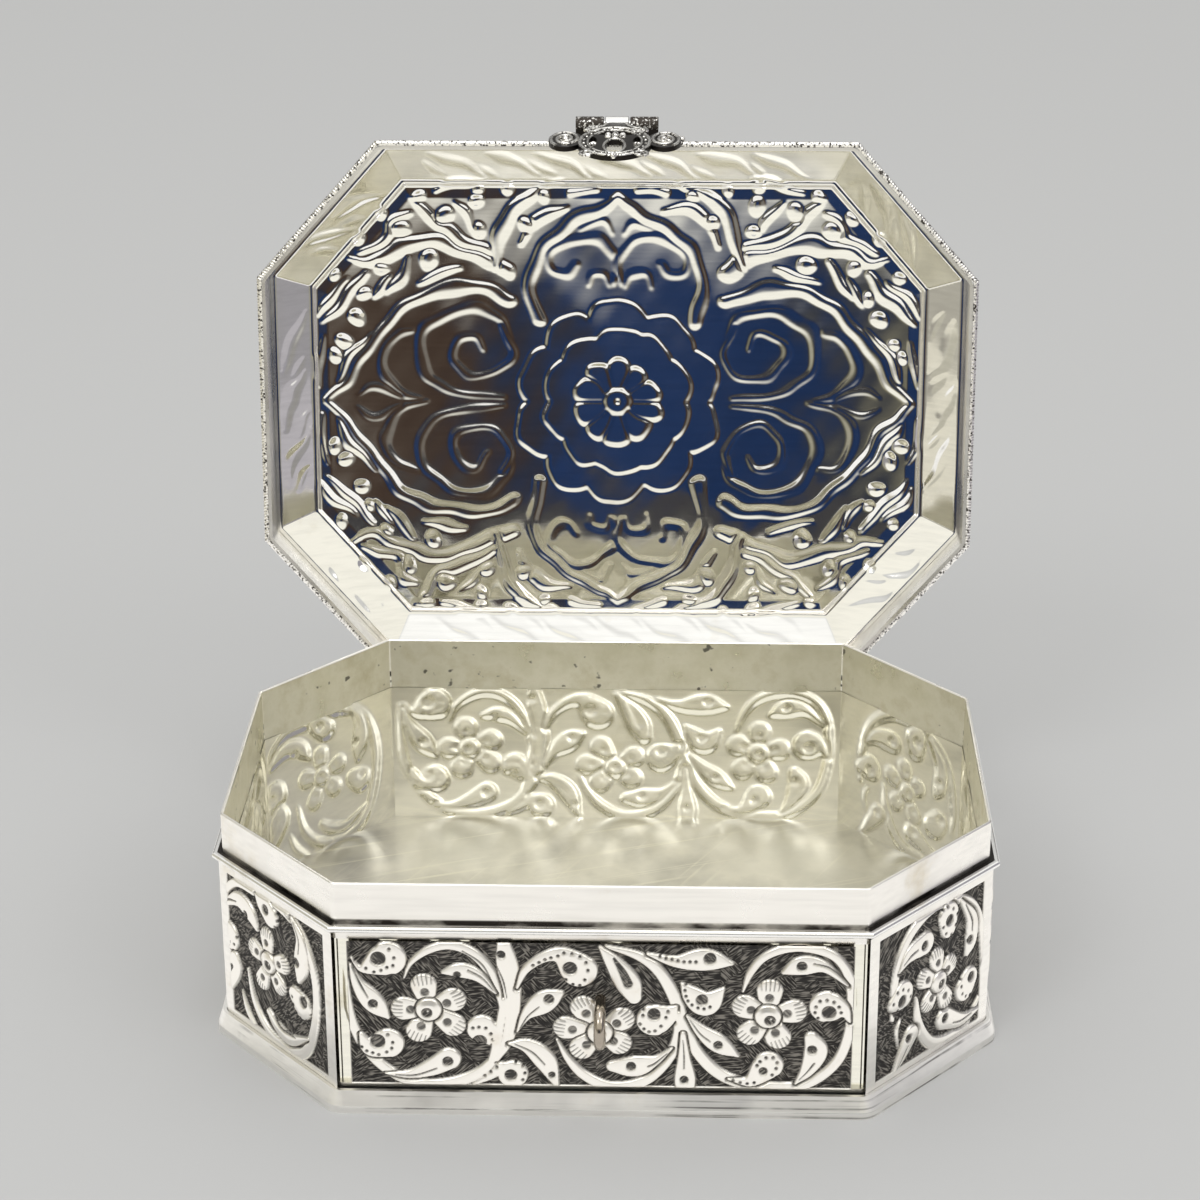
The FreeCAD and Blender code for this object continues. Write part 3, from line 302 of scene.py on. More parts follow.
def standing(start, end):
    """The corners of a card that stands on a line of the floor, as high as the room."""
    return [(*start, 0.0), (*end, 0.0), (*end, ROOM_HEIGHT), (*start, ROOM_HEIGHT)]


SIDE_WALLS = (("left", -ROOM_REACH, (0.50, 0.48, 0.40)), ("right", ROOM_REACH, (0.33, 0.32, 0.35)))
glossy_card("room_card", standing((-ROOM_REACH, ROOM_Y), (ROOM_REACH, ROOM_Y)), room_paint("room_paint"))
for side, x, colour in SIDE_WALLS:
    wall_paint = plain_emission(f"room_{side}_paint", colour)
    glossy_card(f"room_{side}", standing((x, ROOM_Y), (x, SIDE_WALL_END)), wall_paint)
print("cards ready")

# %% [markdown]
# ## Metal finishes
# All pieces are one alloy, but each surface was left in its own state: the raised chasing is bright and the
# ground behind it is blackened and hatched with a fine punch, the collar is plain and pale, the inside has
# a warm tarnish, and the lid's inside is still polished. Every finish is the Principled shader set to metal.

# %% Plain bright metal


def coat(tree, shader, colour, rough):
    """Links a metal's colour and roughness to its shader."""
    tree.links.new(colour, shader.inputs["Base Color"])
    tree.links.new(rough, shader.inputs["Roughness"])
    shader.inputs["Metallic"].default_value = 1.0


def bright_metal(name, pale, tarnish, rough=(0.22, 0.4), spots=0.62, grain=0.15):
    """Polished sheet: cloudy tarnish, roughness that varies with it and fine wiping scratches."""
    made, tree, shader = new_finish(name)
    cloud = noise(tree, 60.0, 6.0, roughness=0.62)
    tint = ramp(tree, cloud, [(0.36, pale), (spots, pale), (0.80, tarnish)])
    wipes = noise(tree, 900.0, 3.0, stretch=(0.06, 0.35, 1.0))
    shade = blend(tree, 0.16, tint, ramp(tree, wipes, [(0.3, 0.55), (0.6, 1.0)]), "MULTIPLY")
    coat(tree, shader, shade, ramp(tree, cloud, [(0.3, rough[0]), (0.75, rough[1])]))
    bump(tree, shader, wipes, grain, 0.00005)
    return made


def maths(tree, kind, first, second=0.0):
    """A sum on a socket and a second socket or number."""
    made = node(tree, "ShaderNodeMath", operation=kind)
    tree.links.new(first, made.inputs[0])
    if isinstance(second, float):
        made.inputs[1].default_value = second
    else:
        tree.links.new(second, made.inputs[1])
    return made.outputs[0]


def darken(made, where, colour):
    """Lays a dark colour over a finish, by a share that is a socket."""
    tree, base = made.node_tree, made.node_tree.nodes["Principled BSDF"].inputs["Base Color"]
    tree.links.new(blend(tree, where, base.links[0].from_socket, colour), base)


def add_painted_crease_shade(made, levels):
    """Paints shade into a finish in level bands, each a low and a high in millimetres, with a ragged edge.
    """
    tree = made.node_tree
    ragged = noise(tree, 240.0, 4.0, stretch=(0.5, 0.5, 1.0))
    for low, high in levels:
        middle, reach = (low + high) / 2 * MM, (high - low) / 2 * MM
        far = maths(tree, "ABSOLUTE", maths(tree, "SUBTRACT", own_place(tree, "Z"), middle))
        share = share_between(tree, far, reach * 1.15, reach * 0.7)
        patches = ramp(tree, ragged, [(0.30, 0.25), (0.55, 1.0)])
        darken(made, maths(tree, "MULTIPLY", share, patches), (0.045, 0.040, 0.036))


def streaked_metal(name):
    """The foot: bright metal with fine level lines from drawing, worn dark here and there."""
    made = bright_metal(name, (0.96, 0.945, 0.91), (0.82, 0.78, 0.71), rough=(0.30, 0.46))
    tree = made.node_tree
    lines = ramp(tree, noise(tree, 1500.0, 2.0, stretch=(0.012, 0.012, 1.0)), [(0.56, 0.0), (0.64, 1.0)])
    worn = ramp(tree, noise(tree, 90.0, 3.0), [(0.42, 0.0), (0.6, 0.8)])
    darken(made, blend(tree, 1.0, lines, worn, "MULTIPLY"), (0.14, 0.13, 0.12))
    return made


collar_metal = bright_metal("collar_metal", (0.965, 0.94, 0.89), (0.82, 0.76, 0.64))
# Painted shade: dark bands in the crease where the collar stands on the wall's top, and just under the
# wall's bead.
add_painted_crease_shade(collar_metal, [(39.6, 40.9), (38.15, 38.7)])
skirt_metal = bright_metal("skirt_metal", (0.92, 0.90, 0.86), (0.72, 0.67, 0.58))
foot_metal = streaked_metal("foot_metal")
dark_metal = bright_metal(
    "dark_metal", (0.035, 0.031, 0.028), (0.20, 0.18, 0.16), rough=(0.4, 0.6), spots=0.6
)
rim_metal = bright_metal("rim_metal", (0.95, 0.94, 0.92), (0.70, 0.66, 0.58), rough=(0.12, 0.3))
# Partly painted reflection: the staple's base colour is a darker brown than the wire's own brownish tint,
# standing for the dark room that its polished loop reflects.
staple_metal = bright_metal("staple_metal", (0.42, 0.37, 0.31), (0.25, 0.20, 0.16), rough=(0.1, 0.22))
print("plain metals made")

# %% Chased metal, bright on a blackened ground
BLACK, SOOT, HATCH = (0.012, 0.010, 0.009), (0.035, 0.031, 0.028), (0.27, 0.25, 0.22)
RAISED_PALE, RAISED_WARM = (0.965, 0.935, 0.875), (0.84, 0.78, 0.68)


def chased_metal(name, facing):
    """Reads the piece's own 'bright' attribute: 0 is the black, hatched ground and 1 the relief."""
    made, tree, shader = new_finish(name)
    mark = node(tree, "ShaderNodeAttribute", attribute_name="bright").outputs["Fac"]
    cells = node(tree, "ShaderNodeTexVoronoi", Scale=260.0)
    place = node(tree, "ShaderNodeTexCoord")
    tree.links.new(place.outputs["Object"], cells.inputs["Vector"])
    ways = [(turn * facing[0], turn * facing[1], 0.0) for turn in (0.9, -0.7, 1.5)]
    one, two, three = (noise(tree, 3100.0, 1.5, stretch=(1.0, 1.0, 0.14), turn=way) for way in ways)
    pick_second = ramp(tree, cells.outputs["Color"], [(0.36, 0.0), (0.42, 1.0)])
    pick_third = ramp(tree, cells.outputs["Color"], [(0.60, 0.0), (0.66, 1.0)])
    lines = blend(tree, pick_third, blend(tree, pick_second, one, two), three)
    ground = ramp(tree, lines, [(0.40, BLACK), (0.50, SOOT), (0.62, HATCH)])
    cloud = noise(tree, 110.0, 5.0, roughness=0.6)
    raised = ramp(tree, cloud, [(0.35, RAISED_PALE), (0.58, RAISED_PALE), (0.78, RAISED_WARM)])
    coat(tree, shader, blend(tree, mark, ground, raised), ramp(tree, mark, [(0.0, 0.62), (1.0, 0.30)]))
    tree.links.new(ramp(tree, mark, [(0.0, 0.35), (0.6, 1.0)]), shader.inputs["Metallic"])
    bump(tree, shader, blend(tree, mark, lines, noise(tree, 700.0, 3.0)), 0.25, 0.0001)
    return made


HATCH_WAYS = {"front": (0, 1), "end": (1, 0), "falling": (0.75, 0.66), "rising": (0.75, -0.66)}
relief_metals = {kind: chased_metal(f"relief_{kind}", facing) for kind, facing in HATCH_WAYS.items()}
print("chased metals made")

# %% Warm inside metal and the lid's polished inside
inside_metal = bright_metal(
    "inside_metal", (0.92, 0.90, 0.80), (0.70, 0.66, 0.50), rough=(0.07, 0.18), grain=0.08
)
lid_inside_metal = bright_metal(
    "lid_inside_metal", (0.96, 0.95, 0.92), (0.86, 0.82, 0.74), rough=(0.04, 0.10), grain=0.04
)


def worn_floor_metal(name):
    """The box's floor: grey tarnish in soft pools, with long scratches both ways."""
    made, tree, shader = new_finish(name)
    pools = noise(tree, 34.0, 5.0, roughness=0.55)
    shades = [(0.32, (0.66, 0.65, 0.60)), (0.5, (0.80, 0.78, 0.72)), (0.68, (0.54, 0.53, 0.50))]
    along = noise(tree, 620.0, 2.0, stretch=(0.03, 1.0, 1.0), turn=(0.0, 0.0, 0.35))
    across = noise(tree, 620.0, 2.0, stretch=(1.0, 0.04, 1.0), turn=(0.0, 0.0, -0.5))
    long_cuts = ramp(tree, along, [(0.58, 0.0), (0.7, 1.0)])
    cross_cuts = ramp(tree, across, [(0.6, 0.0), (0.72, 1.0)])
    cuts = blend(tree, 0.5, long_cuts, cross_cuts, "ADD")
    tint = blend(tree, cuts, ramp(tree, pools, shades), (0.86, 0.84, 0.76))
    coat(tree, shader, tint, ramp(tree, pools, [(0.3, 0.42), (0.7, 0.28)]))
    bump(tree, shader, cuts, 0.2, 0.00005)
    return made


floor_metal = worn_floor_metal("floor_metal")
print("inside metals made")

# %% [markdown]
# ## Drawing relief on a sheet
# A smith draws the pattern as strokes: stems, leaves and petals are all bands that swell and taper along a
# curve. Here a sheet is a fine grid, and each stroke lifts the vertices inside its band. A narrow moat
# round every stroke keeps neighbours apart, as the chasing tool does. The sheet also remembers how bright
# each vertex is, so the material knows the black ground from the raised metal.

# %% Strokes on a sheet


def new_drawing(along, up):
    """A blank sheet: the place of each vertex in millimetres, its height and its brightness."""
    flat = np.zeros(len(along))
    return {"u": np.array(along), "v": np.array(up), "height": flat.copy(), "bright": flat.copy()}


def soft_step(value, low, high):
    """0 up to low, 1 from high on, and a smooth climb between them."""
    share = np.clip((value - low) / (high - low), 0.0, 1.0)
    return share * share * (3.0 - 2.0 * share)


def smooth_path(points, widths, steps=7):
    """A Catmull-Rom curve through the points, which carries the half width along as a third number."""
    widths = np.interp(np.linspace(0, 1, len(points)), np.linspace(0, 1, len(widths)), widths)
    rows = np.column_stack([np.array(points, float), widths])
    if len(rows) == 1:
        return np.vstack([rows, rows + [1e-6, 0, 0]])
    rows = np.vstack([2 * rows[0] - rows[1], rows, 2 * rows[-1] - rows[-2]])
    path = []
    for before, start, end, after in zip(rows, rows[1:], rows[2:], rows[3:]):
        for t in np.arange(steps) / steps:
            bend = (2 * before - 5 * start + 4 * end - after) * t * t
            twist = (3 * start - before - 3 * end + after) * t**3
            path.append(0.5 * (2 * start + (end - before) * t + bend + twist))
    path.append(rows[-2])
    path = np.array(path)
    path[:, 2] = np.maximum(path[:, 2], 0.02)
    return path


def depth_in(sheet, strokes, margin=0.8):
    """How deep each nearby vertex lies inside the union of strokes: positive inside, negative outside."""
    paths = [smooth_path(points, widths) for points, widths in strokes]
    every = np.vstack(paths)
    reach = every[:, 2].max() + margin
    low, high = every[:, :2].min(0) - reach, every[:, :2].max(0) + reach
    u, v = sheet["u"], sheet["v"]
    near = np.flatnonzero((u > low[0]) & (u < high[0]) & (v > low[1]) & (v < high[1]))
    spots = np.column_stack([u[near], v[near]])
    depth = np.full(len(near), -9.0)
    for path in paths:
        for start, end in zip(path[:-1], path[1:]):
            run = end[:2] - start[:2]
            share = np.clip((spots - start[:2]) @ run / max(run @ run, 1e-12), 0.0, 1.0)
            gap = np.hypot(*(spots - start[:2] - share[:, None] * run).T)
            depth = np.maximum(depth, start[2] + share * (end[2] - start[2]) - gap)
    return near, depth


def lift(sheet, *strokes, rise=0.62, crown=0.16, moat=0.42, flank=0.26):
    """Raises strokes above what was drawn before, with a moat round them."""
    near, depth = depth_in(sheet, strokes)
    height, bright = sheet["height"][near], sheet["bright"][near]
    ditch = soft_step(depth, -moat, -moat * 0.35) if moat else soft_step(depth, 0.0, flank)
    body = soft_step(depth, -0.04, flank)
    shine = soft_step(depth, -0.02, 0.15)
    top = rise + crown * soft_step(depth, 0.0, 1.6)
    if moat:
        sheet["height"][near] = height * (1 - ditch) + body * top
        sheet["bright"][near] = bright * (1 - ditch) + shine
    else:
        sheet["height"][near] = np.maximum(height, body * top)
        sheet["bright"][near] = np.maximum(bright, shine)


def swell(sheet, *strokes, rise=0.2, flank=1.3, moat=0.3):
    """Pushes strokes up as rounded bands, steepest at their edge and level along their middle."""
    near, depth = depth_in(sheet, strokes)
    ditch = soft_step(depth, -moat, 0.0) if moat else 0.0
    share = np.clip(depth / flank, 0.0, 1.0)
    sheet["height"][near] = sheet["height"][near] * (1 - ditch) + rise * share * (2 - share)
    sheet["bright"][near] = sheet["bright"][near] * (1 - ditch) + soft_step(depth, -0.02, 0.15)


def cut(sheet, *strokes, sink=0.22, dark=0.95):
    """Engraves strokes into what is there."""
    near, depth = depth_in(sheet, strokes)
    share = soft_step(depth, -0.10, 0.10)
    sheet["height"][near] -= share * sink * (sheet["bright"][near] > 0.05)
    sheet["bright"][near] *= 1 - share * dark


# %% [markdown]
# The pattern is built from a few motifs. A leaf has an eye punched near its round end and a vein or a row
# of dots. A flower has a domed button with an off-centre eye and petals hatched towards their edge.

# %% Motifs: eye, dots, petal and button


def eye(sheet, spot, radius):
    """A deep round punch mark."""
    cut(sheet, ([spot], [radius]), sink=0.38)


DOT_RADIUS = 0.34


def dots(sheet, points):
    """A row of small punch marks."""
    for spot in points:
        cut(sheet, ([spot], [DOT_RADIUS]), sink=0.2)


def petal(sheet, heart, tip, width):
    """A round petal that grows from the flower's heart, with hatching near its outer edge."""
    heart, tip = np.array(heart), np.array(tip)
    out = (tip - heart) / np.hypot(*(tip - heart))
    side = np.array([-out[1], out[0]])
    lift(sheet, ([heart + (tip - heart) * 0.55, tip], [width * 0.75, width]), rise=0.5)
    for share in (-0.62, -0.3, 0.0, 0.3, 0.62):
        foot = tip + side * share * width + out * width * 0.12
        end = tip + side * share * width * 1.12 + out * width * (0.92 - 0.55 * share * share)
        cut(sheet, ([foot, end], [0.09, 0.13]), sink=0.12, dark=0.8)
    cut(sheet, ([tip - out * width * 0.5], [width * 0.34]), sink=0.22, dark=0.85)


def button(sheet, spot, radius, pupil):
    """A flower's domed middle with its eye, and in the eye a tiny raised dot marked bright as a painted
    highlight.
    """
    lift(sheet, ([spot], [radius]), rise=0.62, crown=0.4)
    eye(sheet, pupil, radius * 0.42)
    # Painted highlight: a tiny dot beside the eye's middle, raised and marked bright, stands for a glint in
    # the eye.
    lift(sheet, ([np.add(pupil, (0.18, 0.22))], [radius * 0.1]), rise=0.5, moat=0)


def draw(sheet, motifs, place):
    """Draws a list of motifs, each a kind, its picture points and its sizes, through a placing function."""
    for kind, points, *sizes in motifs:
        spots = [place(*point) for point in points]
        if kind == "limb":
            lift(sheet, (spots, sizes[0]))
        elif kind == "join":
            lift(sheet, (spots, sizes[0]), moat=0)
        elif kind == "eye":
            eye(sheet, spots[0], sizes[0])
        elif kind == "dots":
            dots(sheet, spots)
        elif kind == "vein":
            cut(sheet, (spots, sizes[0]))
        elif kind == "flower":
            for tip in spots[2:]:
                petal(sheet, spots[0], tip, sizes[0])
            button(sheet, spots[0], sizes[1], spots[1])


# %% [markdown]
# ## The front panel's pattern
# Three flowers sit in three scrolls that spring from one stem. Points are picture points, so the drawing
# can be laid over the photograph; sizes are half widths in millimetres on the real panel.

# %% Left scroll of the front
FRONT_LEFT = [
    ("limb", [(500, 1056), (480, 1076), (452, 1087), (422, 1088), (392, 1076), (368, 1054), (353, 1026),
              (347, 996), (345, 958)], [0.9, 1.2, 1.3, 1.25, 1.15, 1.1, 1.0, 0.8, 0.25]),
    ("limb", [(404, 978), (411, 962), (428, 949), (449, 944), (471, 951), (489, 970), (500, 996),
              (504, 1022)], [0.25, 0.6, 0.9, 1.0, 1.1, 1.1, 0.9, 0.5]),
    ("vein", [(462, 949), (482, 963), (495, 988)], [0.1, 0.16, 0.08]),
    ("limb", [(443, 972), (460, 970), (478, 976), (496, 994)], [0.5, 1.6, 1.3, 0.3]),
    ("eye", [(457, 974)], 0.75),
    ("vein", [(468, 969), (482, 977), (493, 990)], [0.16, 0.14, 0.08]),
    ("limb", [(351, 957), (362, 968), (387, 958)], [0.25, 0.9, 3.7]),
    ("eye", [(378, 957)], 1.45),
    ("dots", [(389, 947), (394, 956), (393, 964), (387, 966), (381, 969), (374, 971), (366, 967),
              (360, 963), (355, 959)]),
    ("limb", [(350, 964), (358, 984), (373, 1003), (388, 1019)], [0.3, 1.3, 2.2, 0.5]),
    ("eye", [(373, 1004)], 0.95),
    ("vein", [(352, 966), (360, 983), (368, 997)], [0.1, 0.2, 0.12]),
    ("limb", [(361, 1036), (370, 1050), (388, 1046)], [0.5, 1.8, 3.2]),
    ("eye", [(378, 1043)], 1.45),
    ("dots", [(362, 1049), (367, 1053), (373, 1055), (379, 1057), (387, 1054), (392, 1050), (393, 1044),
              (388, 1036)]),
    ("limb", [(386, 1077), (410, 1078), (432, 1071), (449, 1062)], [0.3, 1.0, 1.9, 2.4]),
    ("eye", [(448, 1064)], 1.05),
    ("vein", [(396, 1078), (416, 1078), (437, 1071)], [0.1, 0.16, 0.12]),
    ("limb", [(501, 1054), (495, 1042), (482, 1031)], [0.4, 1.7, 3.0]),
    ("eye", [(480, 1043)], 1.35),
    ("dots", [(473, 1029), (479, 1028), (486, 1029), (491, 1035), (493, 1041), (492, 1047),
              (489, 1054)]),
    ("flower", [(428.6, 1010.8), (427, 1013), (423.5, 986), (453, 1001), (453, 1027), (419, 1033),
                (404, 1010)], 2.55, 2.55),
]

# %% Stem and middle scroll of the front
FRONT_MIDDLE = [
    ("limb", [(557, 1042), (568, 1062), (584, 1079), (610, 1091), (640, 1087), (662, 1070), (677, 1044),
              (680, 1018), (672, 993), (658, 970), (638, 955), (606, 945)],
     [0.3, 0.8, 1.1, 1.2, 1.2, 1.2, 1.2, 1.3, 1.3, 1.2, 1.0, 0.4]),
    ("limb", [(503, 939), (507, 964), (512, 990), (512, 1020), (507, 1044), (497, 1062)],
     [1.2, 2.1, 1.8, 1.4, 1.2, 0.7]),
    ("eye", [(501, 953)], 0.85),
    ("vein", [(495, 962), (503, 980), (507, 998)], [0.08, 0.16, 0.06]),
    ("join", [(504, 1002), (494, 1058), (484, 1072)], [0.8, 0.9, 0.5]),
    ("limb", [(517, 988), (526, 969), (545, 956), (562, 955), (579, 970)], [0.4, 0.9, 1.2, 1.9, 3.6]),
    ("eye", [(570, 967)], 1.35),
    ("dots", [(533, 964), (539, 961), (545, 958), (551, 956), (558, 954), (564, 951), (572, 952),
              (580, 955), (586, 961), (588, 969), (585, 979), (580, 985), (573, 984), (566, 979)]),
    ("limb", [(517, 1034), (527, 1016), (544, 1003), (561, 994)], [0.25, 1.2, 2.4, 0.7]),
    ("eye", [(549, 999)], 1.0),
    ("vein", [(520, 1030), (528, 1017), (539, 1007)], [0.1, 0.15, 0.1]),
    ("limb", [(509, 1046), (528, 1049), (545, 1064), (557, 1090)], [0.4, 1.6, 2.2, 0.6]),
    ("eye", [(552, 1078)], 0.7),
    ("vein", [(515, 1046), (532, 1054), (545, 1067)], [0.1, 0.16, 0.12]),
    ("limb", [(513, 1078)], [3.0]),
    ("join", [(502, 1071), (490, 1080), (474, 1088)], [1.3, 0.9, 0.4]),
    ("eye", [(511, 1078)], 1.2),
    ("dots", [(508, 1063), (516, 1065), (523, 1069), (525, 1076), (523, 1083), (516, 1091), (507, 1092),
              (497, 1070), (491, 1075), (485, 1079)]),
    ("limb", [(600, 946), (614, 963), (627, 982), (634, 998)], [0.4, 1.7, 2.5, 1.5]),
    ("vein", [(614, 957), (622, 970), (628, 983)], [0.25, 0.7, 0.9]),
    ("limb", [(676, 1008), (667, 1017), (654, 1022)], [0.5, 2.0, 3.4]),
    ("eye", [(654, 1015)], 1.25),
    ("dots", [(643, 1010), (643, 1016), (640, 1025), (644, 1030), (649, 1033), (655, 1032), (661, 1027),
              (666, 1018), (668, 1012)]),
    ("limb", [(672, 1051), (655, 1064), (635, 1070), (612, 1070)], [0.3, 1.1, 2.3, 1.2]),
    ("eye", [(631, 1069)], 0.95),
    ("vein", [(667, 1056), (655, 1066), (648, 1069)], [0.08, 0.16, 0.16]),
    ("flower", [(600, 1035), (600, 1035), (583, 1009), (566, 1030), (582, 1051), (622, 1021),
                (619, 1046)], 2.5, 2.5),
]

# %% Right scroll of the front
FRONT_RIGHT = [
    ("limb", [(684, 1024), (696, 1053), (717, 1076), (745, 1088), (785, 1092), (815, 1084), (839, 1062),
              (850, 1030), (852, 1000), (848, 974), (835, 956), (812, 947), (788, 947), (765, 956),
              (751, 972), (743, 992)],
     [0.8, 1.2, 1.3, 1.3, 1.2, 1.1, 1.1, 1.0, 1.0, 1.0, 1.0, 1.1, 1.0, 0.9, 0.8, 0.3]),
    ("join", [(680, 1018), (684, 1030)], [1.2, 1.0]),
    ("limb", [(648, 953), (676, 961), (705, 959), (732, 963)], [0.4, 1.3, 2.4, 0.5]),
    ("eye", [(710, 957)], 1.2),
    ("dots", [(660, 955), (666, 957), (672, 958), (678, 959), (684, 960), (690, 960), (696, 960)]),
    ("limb", [(682, 984), (694, 998), (707, 1005), (723, 990)], [0.4, 2.1, 2.5, 0.5]),
    ("eye", [(702, 1000)], 1.15),
    ("dots", [(686, 984), (685, 990), (686, 996), (688, 1001), (692, 1005), (698, 1008), (704, 1009),
              (710, 1007), (705, 988)]),
    ("limb", [(687, 1018), (702, 1034), (719, 1047), (738, 1059)], [0.3, 1.4, 2.0, 0.4]),
    ("eye", [(718, 1047)], 0.9),
    ("vein", [(690, 1021), (700, 1035), (710, 1043)], [0.08, 0.14, 0.14]),
    ("limb", [(683, 1036), (684, 1060), (685, 1083), (685, 1097)], [0.6, 1.2, 2.1, 1.7]),
    ("eye", [(684, 1083)], 0.85),
    ("vein", [(683, 1042), (684, 1057), (684, 1071)], [0.08, 0.13, 0.12]),
    ("limb", [(784, 972), (803, 965), (825, 967), (848, 986)], [0.6, 2.1, 1.2, 0.3]),
    ("eye", [(802, 965)], 1.0),
    ("vein", [(814, 962), (830, 967), (845, 980)], [0.14, 0.18, 0.08]),
    ("limb", [(850, 1024), (842, 1011), (827, 1008)], [0.3, 1.6, 3.4]),
    ("eye", [(829, 1013)], 1.4),
    ("dots", [(816, 1007), (815, 1013), (818, 1019), (820, 1001), (827, 1000), (834, 1002), (839, 1007),
              (841, 1013), (843, 1020)]),
    ("limb", [(795, 1088), (808, 1073), (816, 1054), (811, 1040)], [0.3, 1.5, 2.3, 1.3]),
    ("eye", [(812, 1052)], 0.95),
    ("vein", [(814, 1066), (806, 1076), (799, 1083)], [0.2, 0.12, 0.08]),
    ("limb", [(728, 1083), (750, 1085), (768, 1069)], [0.3, 1.3, 3.0]),
    ("eye", [(763, 1074)], 0.85),
    ("dots", [(773, 1060), (766, 1060), (760, 1064), (757, 1068), (777, 1065), (776, 1071), (772, 1078),
              (733, 1084), (740, 1086), (747, 1087), (754, 1086)]),
    ("flower", [(768, 1018), (770, 1021), (770, 992), (794, 1013), (778, 1040), (750, 1036),
                (745, 1008)], 2.55, 2.6),
]
FRONT = FRONT_LEFT + FRONT_MIDDLE + FRONT_RIGHT
print("front motifs:", len(FRONT))

# %% [markdown]
# ## The corner panels' patterns
# Each cut corner has one flower in one scroll with leaves and dotted buds round it. The two front corners
# are drawn from the photograph; the back corners repeat them.

# %% Left and right front corners
CORNER_LEFT = [
    ("limb", [(249, 978), (256, 1012), (270, 1042), (290, 1061), (306, 1064), (315, 1040), (317, 1004),
              (311, 968), (298, 936), (279, 914), (254, 899), (236, 890), (224, 902), (221, 925)],
     [0.3, 0.9, 1.1, 1.2, 1.3, 1.2, 1.1, 1.2, 1.2, 1.1, 1.0, 1.0, 0.8, 0.3]),
    ("vein", [(286, 921), (302, 945), (312, 978)], [0.08, 0.18, 0.08]),
    ("limb", [(224, 912), (238, 907), (250, 920), (258, 939)], [0.4, 1.7, 2.0, 0.4]),
    ("eye", [(247, 922)], 0.8),
    ("vein", [(222, 911), (230, 907), (238, 909)], [0.16, 0.22, 0.12]),
    ("limb", [(222, 950), (230, 944)], [2.2, 3.4]),
    ("eye", [(229, 948)], 1.2),
    ("dots", [(222, 932), (227, 928), (233, 931), (237, 938), (238, 946), (236, 953), (232, 959),
              (221, 942), (221, 951)]),
    ("limb", [(223, 1008), (229, 992), (235, 976), (236, 966)], [0.5, 2.0, 2.6, 1.3]),
    ("vein", [(225, 998), (229, 986), (234, 975)], [0.2, 0.4, 0.5]),
    ("limb", [(258, 900), (264, 911), (271, 924)], [1.0, 2.3, 2.6]),
    ("eye", [(267, 917)], 1.1),
    ("dots", [(262, 899), (267, 903), (271, 909), (274, 915), (277, 922), (278, 929), (276, 935)]),
    ("limb", [(291, 924), (301, 948), (302, 972), (300, 990)], [0.3, 1.5, 2.4, 0.8]),
    ("eye", [(298, 971)], 1.0),
    ("vein", [(294, 930), (300, 948), (300, 962)], [0.1, 0.2, 0.12]),
    ("limb", [(296, 1005), (303, 1016)], [2.0, 3.0]),
    ("eye", [(305, 1012)], 1.2),
    ("dots", [(294, 1006), (295, 1014), (298, 1022), (302, 1028), (308, 1031), (312, 1026)]),
    ("limb", [(270, 1022), (279, 1038), (292, 1051), (309, 1050)], [0.8, 1.5, 1.4, 0.4]),
    ("vein", [(275, 1026), (284, 1040), (297, 1049)], [0.2, 0.25, 0.1]),
    ("limb", [(243, 1000), (250, 1024), (261, 1046)], [0.2, 0.8, 0.3]),
    ("flower", [(269, 972), (270, 974), (267, 946), (255, 957), (283, 974), (263, 990), (280, 996)],
     2.2, 2.4),
]
CORNER_RIGHT = [
    ("limb", [(886, 1024), (888, 992), (895, 960), (910, 932), (932, 909), (957, 898), (977, 899),
              (988, 916), (991, 948), (989, 972)], [0.5, 1.0, 1.1, 1.2, 1.2, 1.1, 1.1, 1.0, 0.9, 0.3]),
    ("limb", [(914, 1000), (917, 1026), (930, 1042), (950, 1036), (972, 1018), (986, 992)],
     [0.4, 1.2, 1.4, 1.2, 1.0, 0.4]),
    ("limb", [(893, 976), (906, 957), (924, 944)], [0.4, 1.8, 2.6]),
    ("eye", [(922, 946)], 1.0),
    ("vein", [(898, 968), (906, 958), (914, 951)], [0.1, 0.2, 0.14]),
    ("limb", [(966, 898), (978, 914), (977, 936), (972, 951)], [0.5, 1.6, 1.8, 0.5]),
    ("eye", [(975, 935)], 0.9),
    ("vein", [(970, 901), (977, 915), (977, 926)], [0.12, 0.2, 0.12]),
    ("limb", [(951, 914), (951, 926)], [3.0, 2.3]),
    ("eye", [(951, 918)], 1.2),
    ("dots", [(944, 909), (949, 905), (955, 906), (960, 911), (944, 926), (947, 932), (953, 932),
              (958, 922)]),
    ("limb", [(888, 1008), (898, 998)], [1.8, 3.1]),
    ("eye", [(896, 1004)], 1.25),
    ("dots", [(891, 996), (897, 992), (903, 992), (906, 998), (905, 1006), (891, 1014), (887, 1019),
              (886, 1008)]),
    ("limb", [(970, 984), (975, 974)], [3.0, 2.6]),
    ("eye", [(976, 972)], 1.1),
    ("dots", [(965, 976), (965, 983), (966, 990), (970, 992), (975, 990), (980, 984), (984, 962),
              (986, 952)]),
    ("limb", [(985, 1003), (966, 1016), (946, 1017)], [0.4, 1.5, 2.5]),
    ("eye", [(946, 1016)], 1.0),
    ("vein", [(977, 1008), (964, 1017), (955, 1020)], [0.1, 0.16, 0.1]),
    ("limb", [(887, 1078), (898, 1056), (908, 1036)], [0.4, 1.6, 2.1]),
    ("eye", [(904, 1040)], 0.9),
    ("vein", [(890, 1074), (898, 1058), (903, 1048)], [0.1, 0.2, 0.14]),
    ("limb", [(893, 1052), (891, 1034), (896, 1022)], [0.2, 0.5, 0.2]),
    ("flower", [(940, 981), (941, 982), (938, 957), (953, 962), (923, 980), (928, 1003), (948, 997)],
     2.2, 2.4),
]
print("corner motifs:", len(CORNER_LEFT) + len(CORNER_RIGHT))

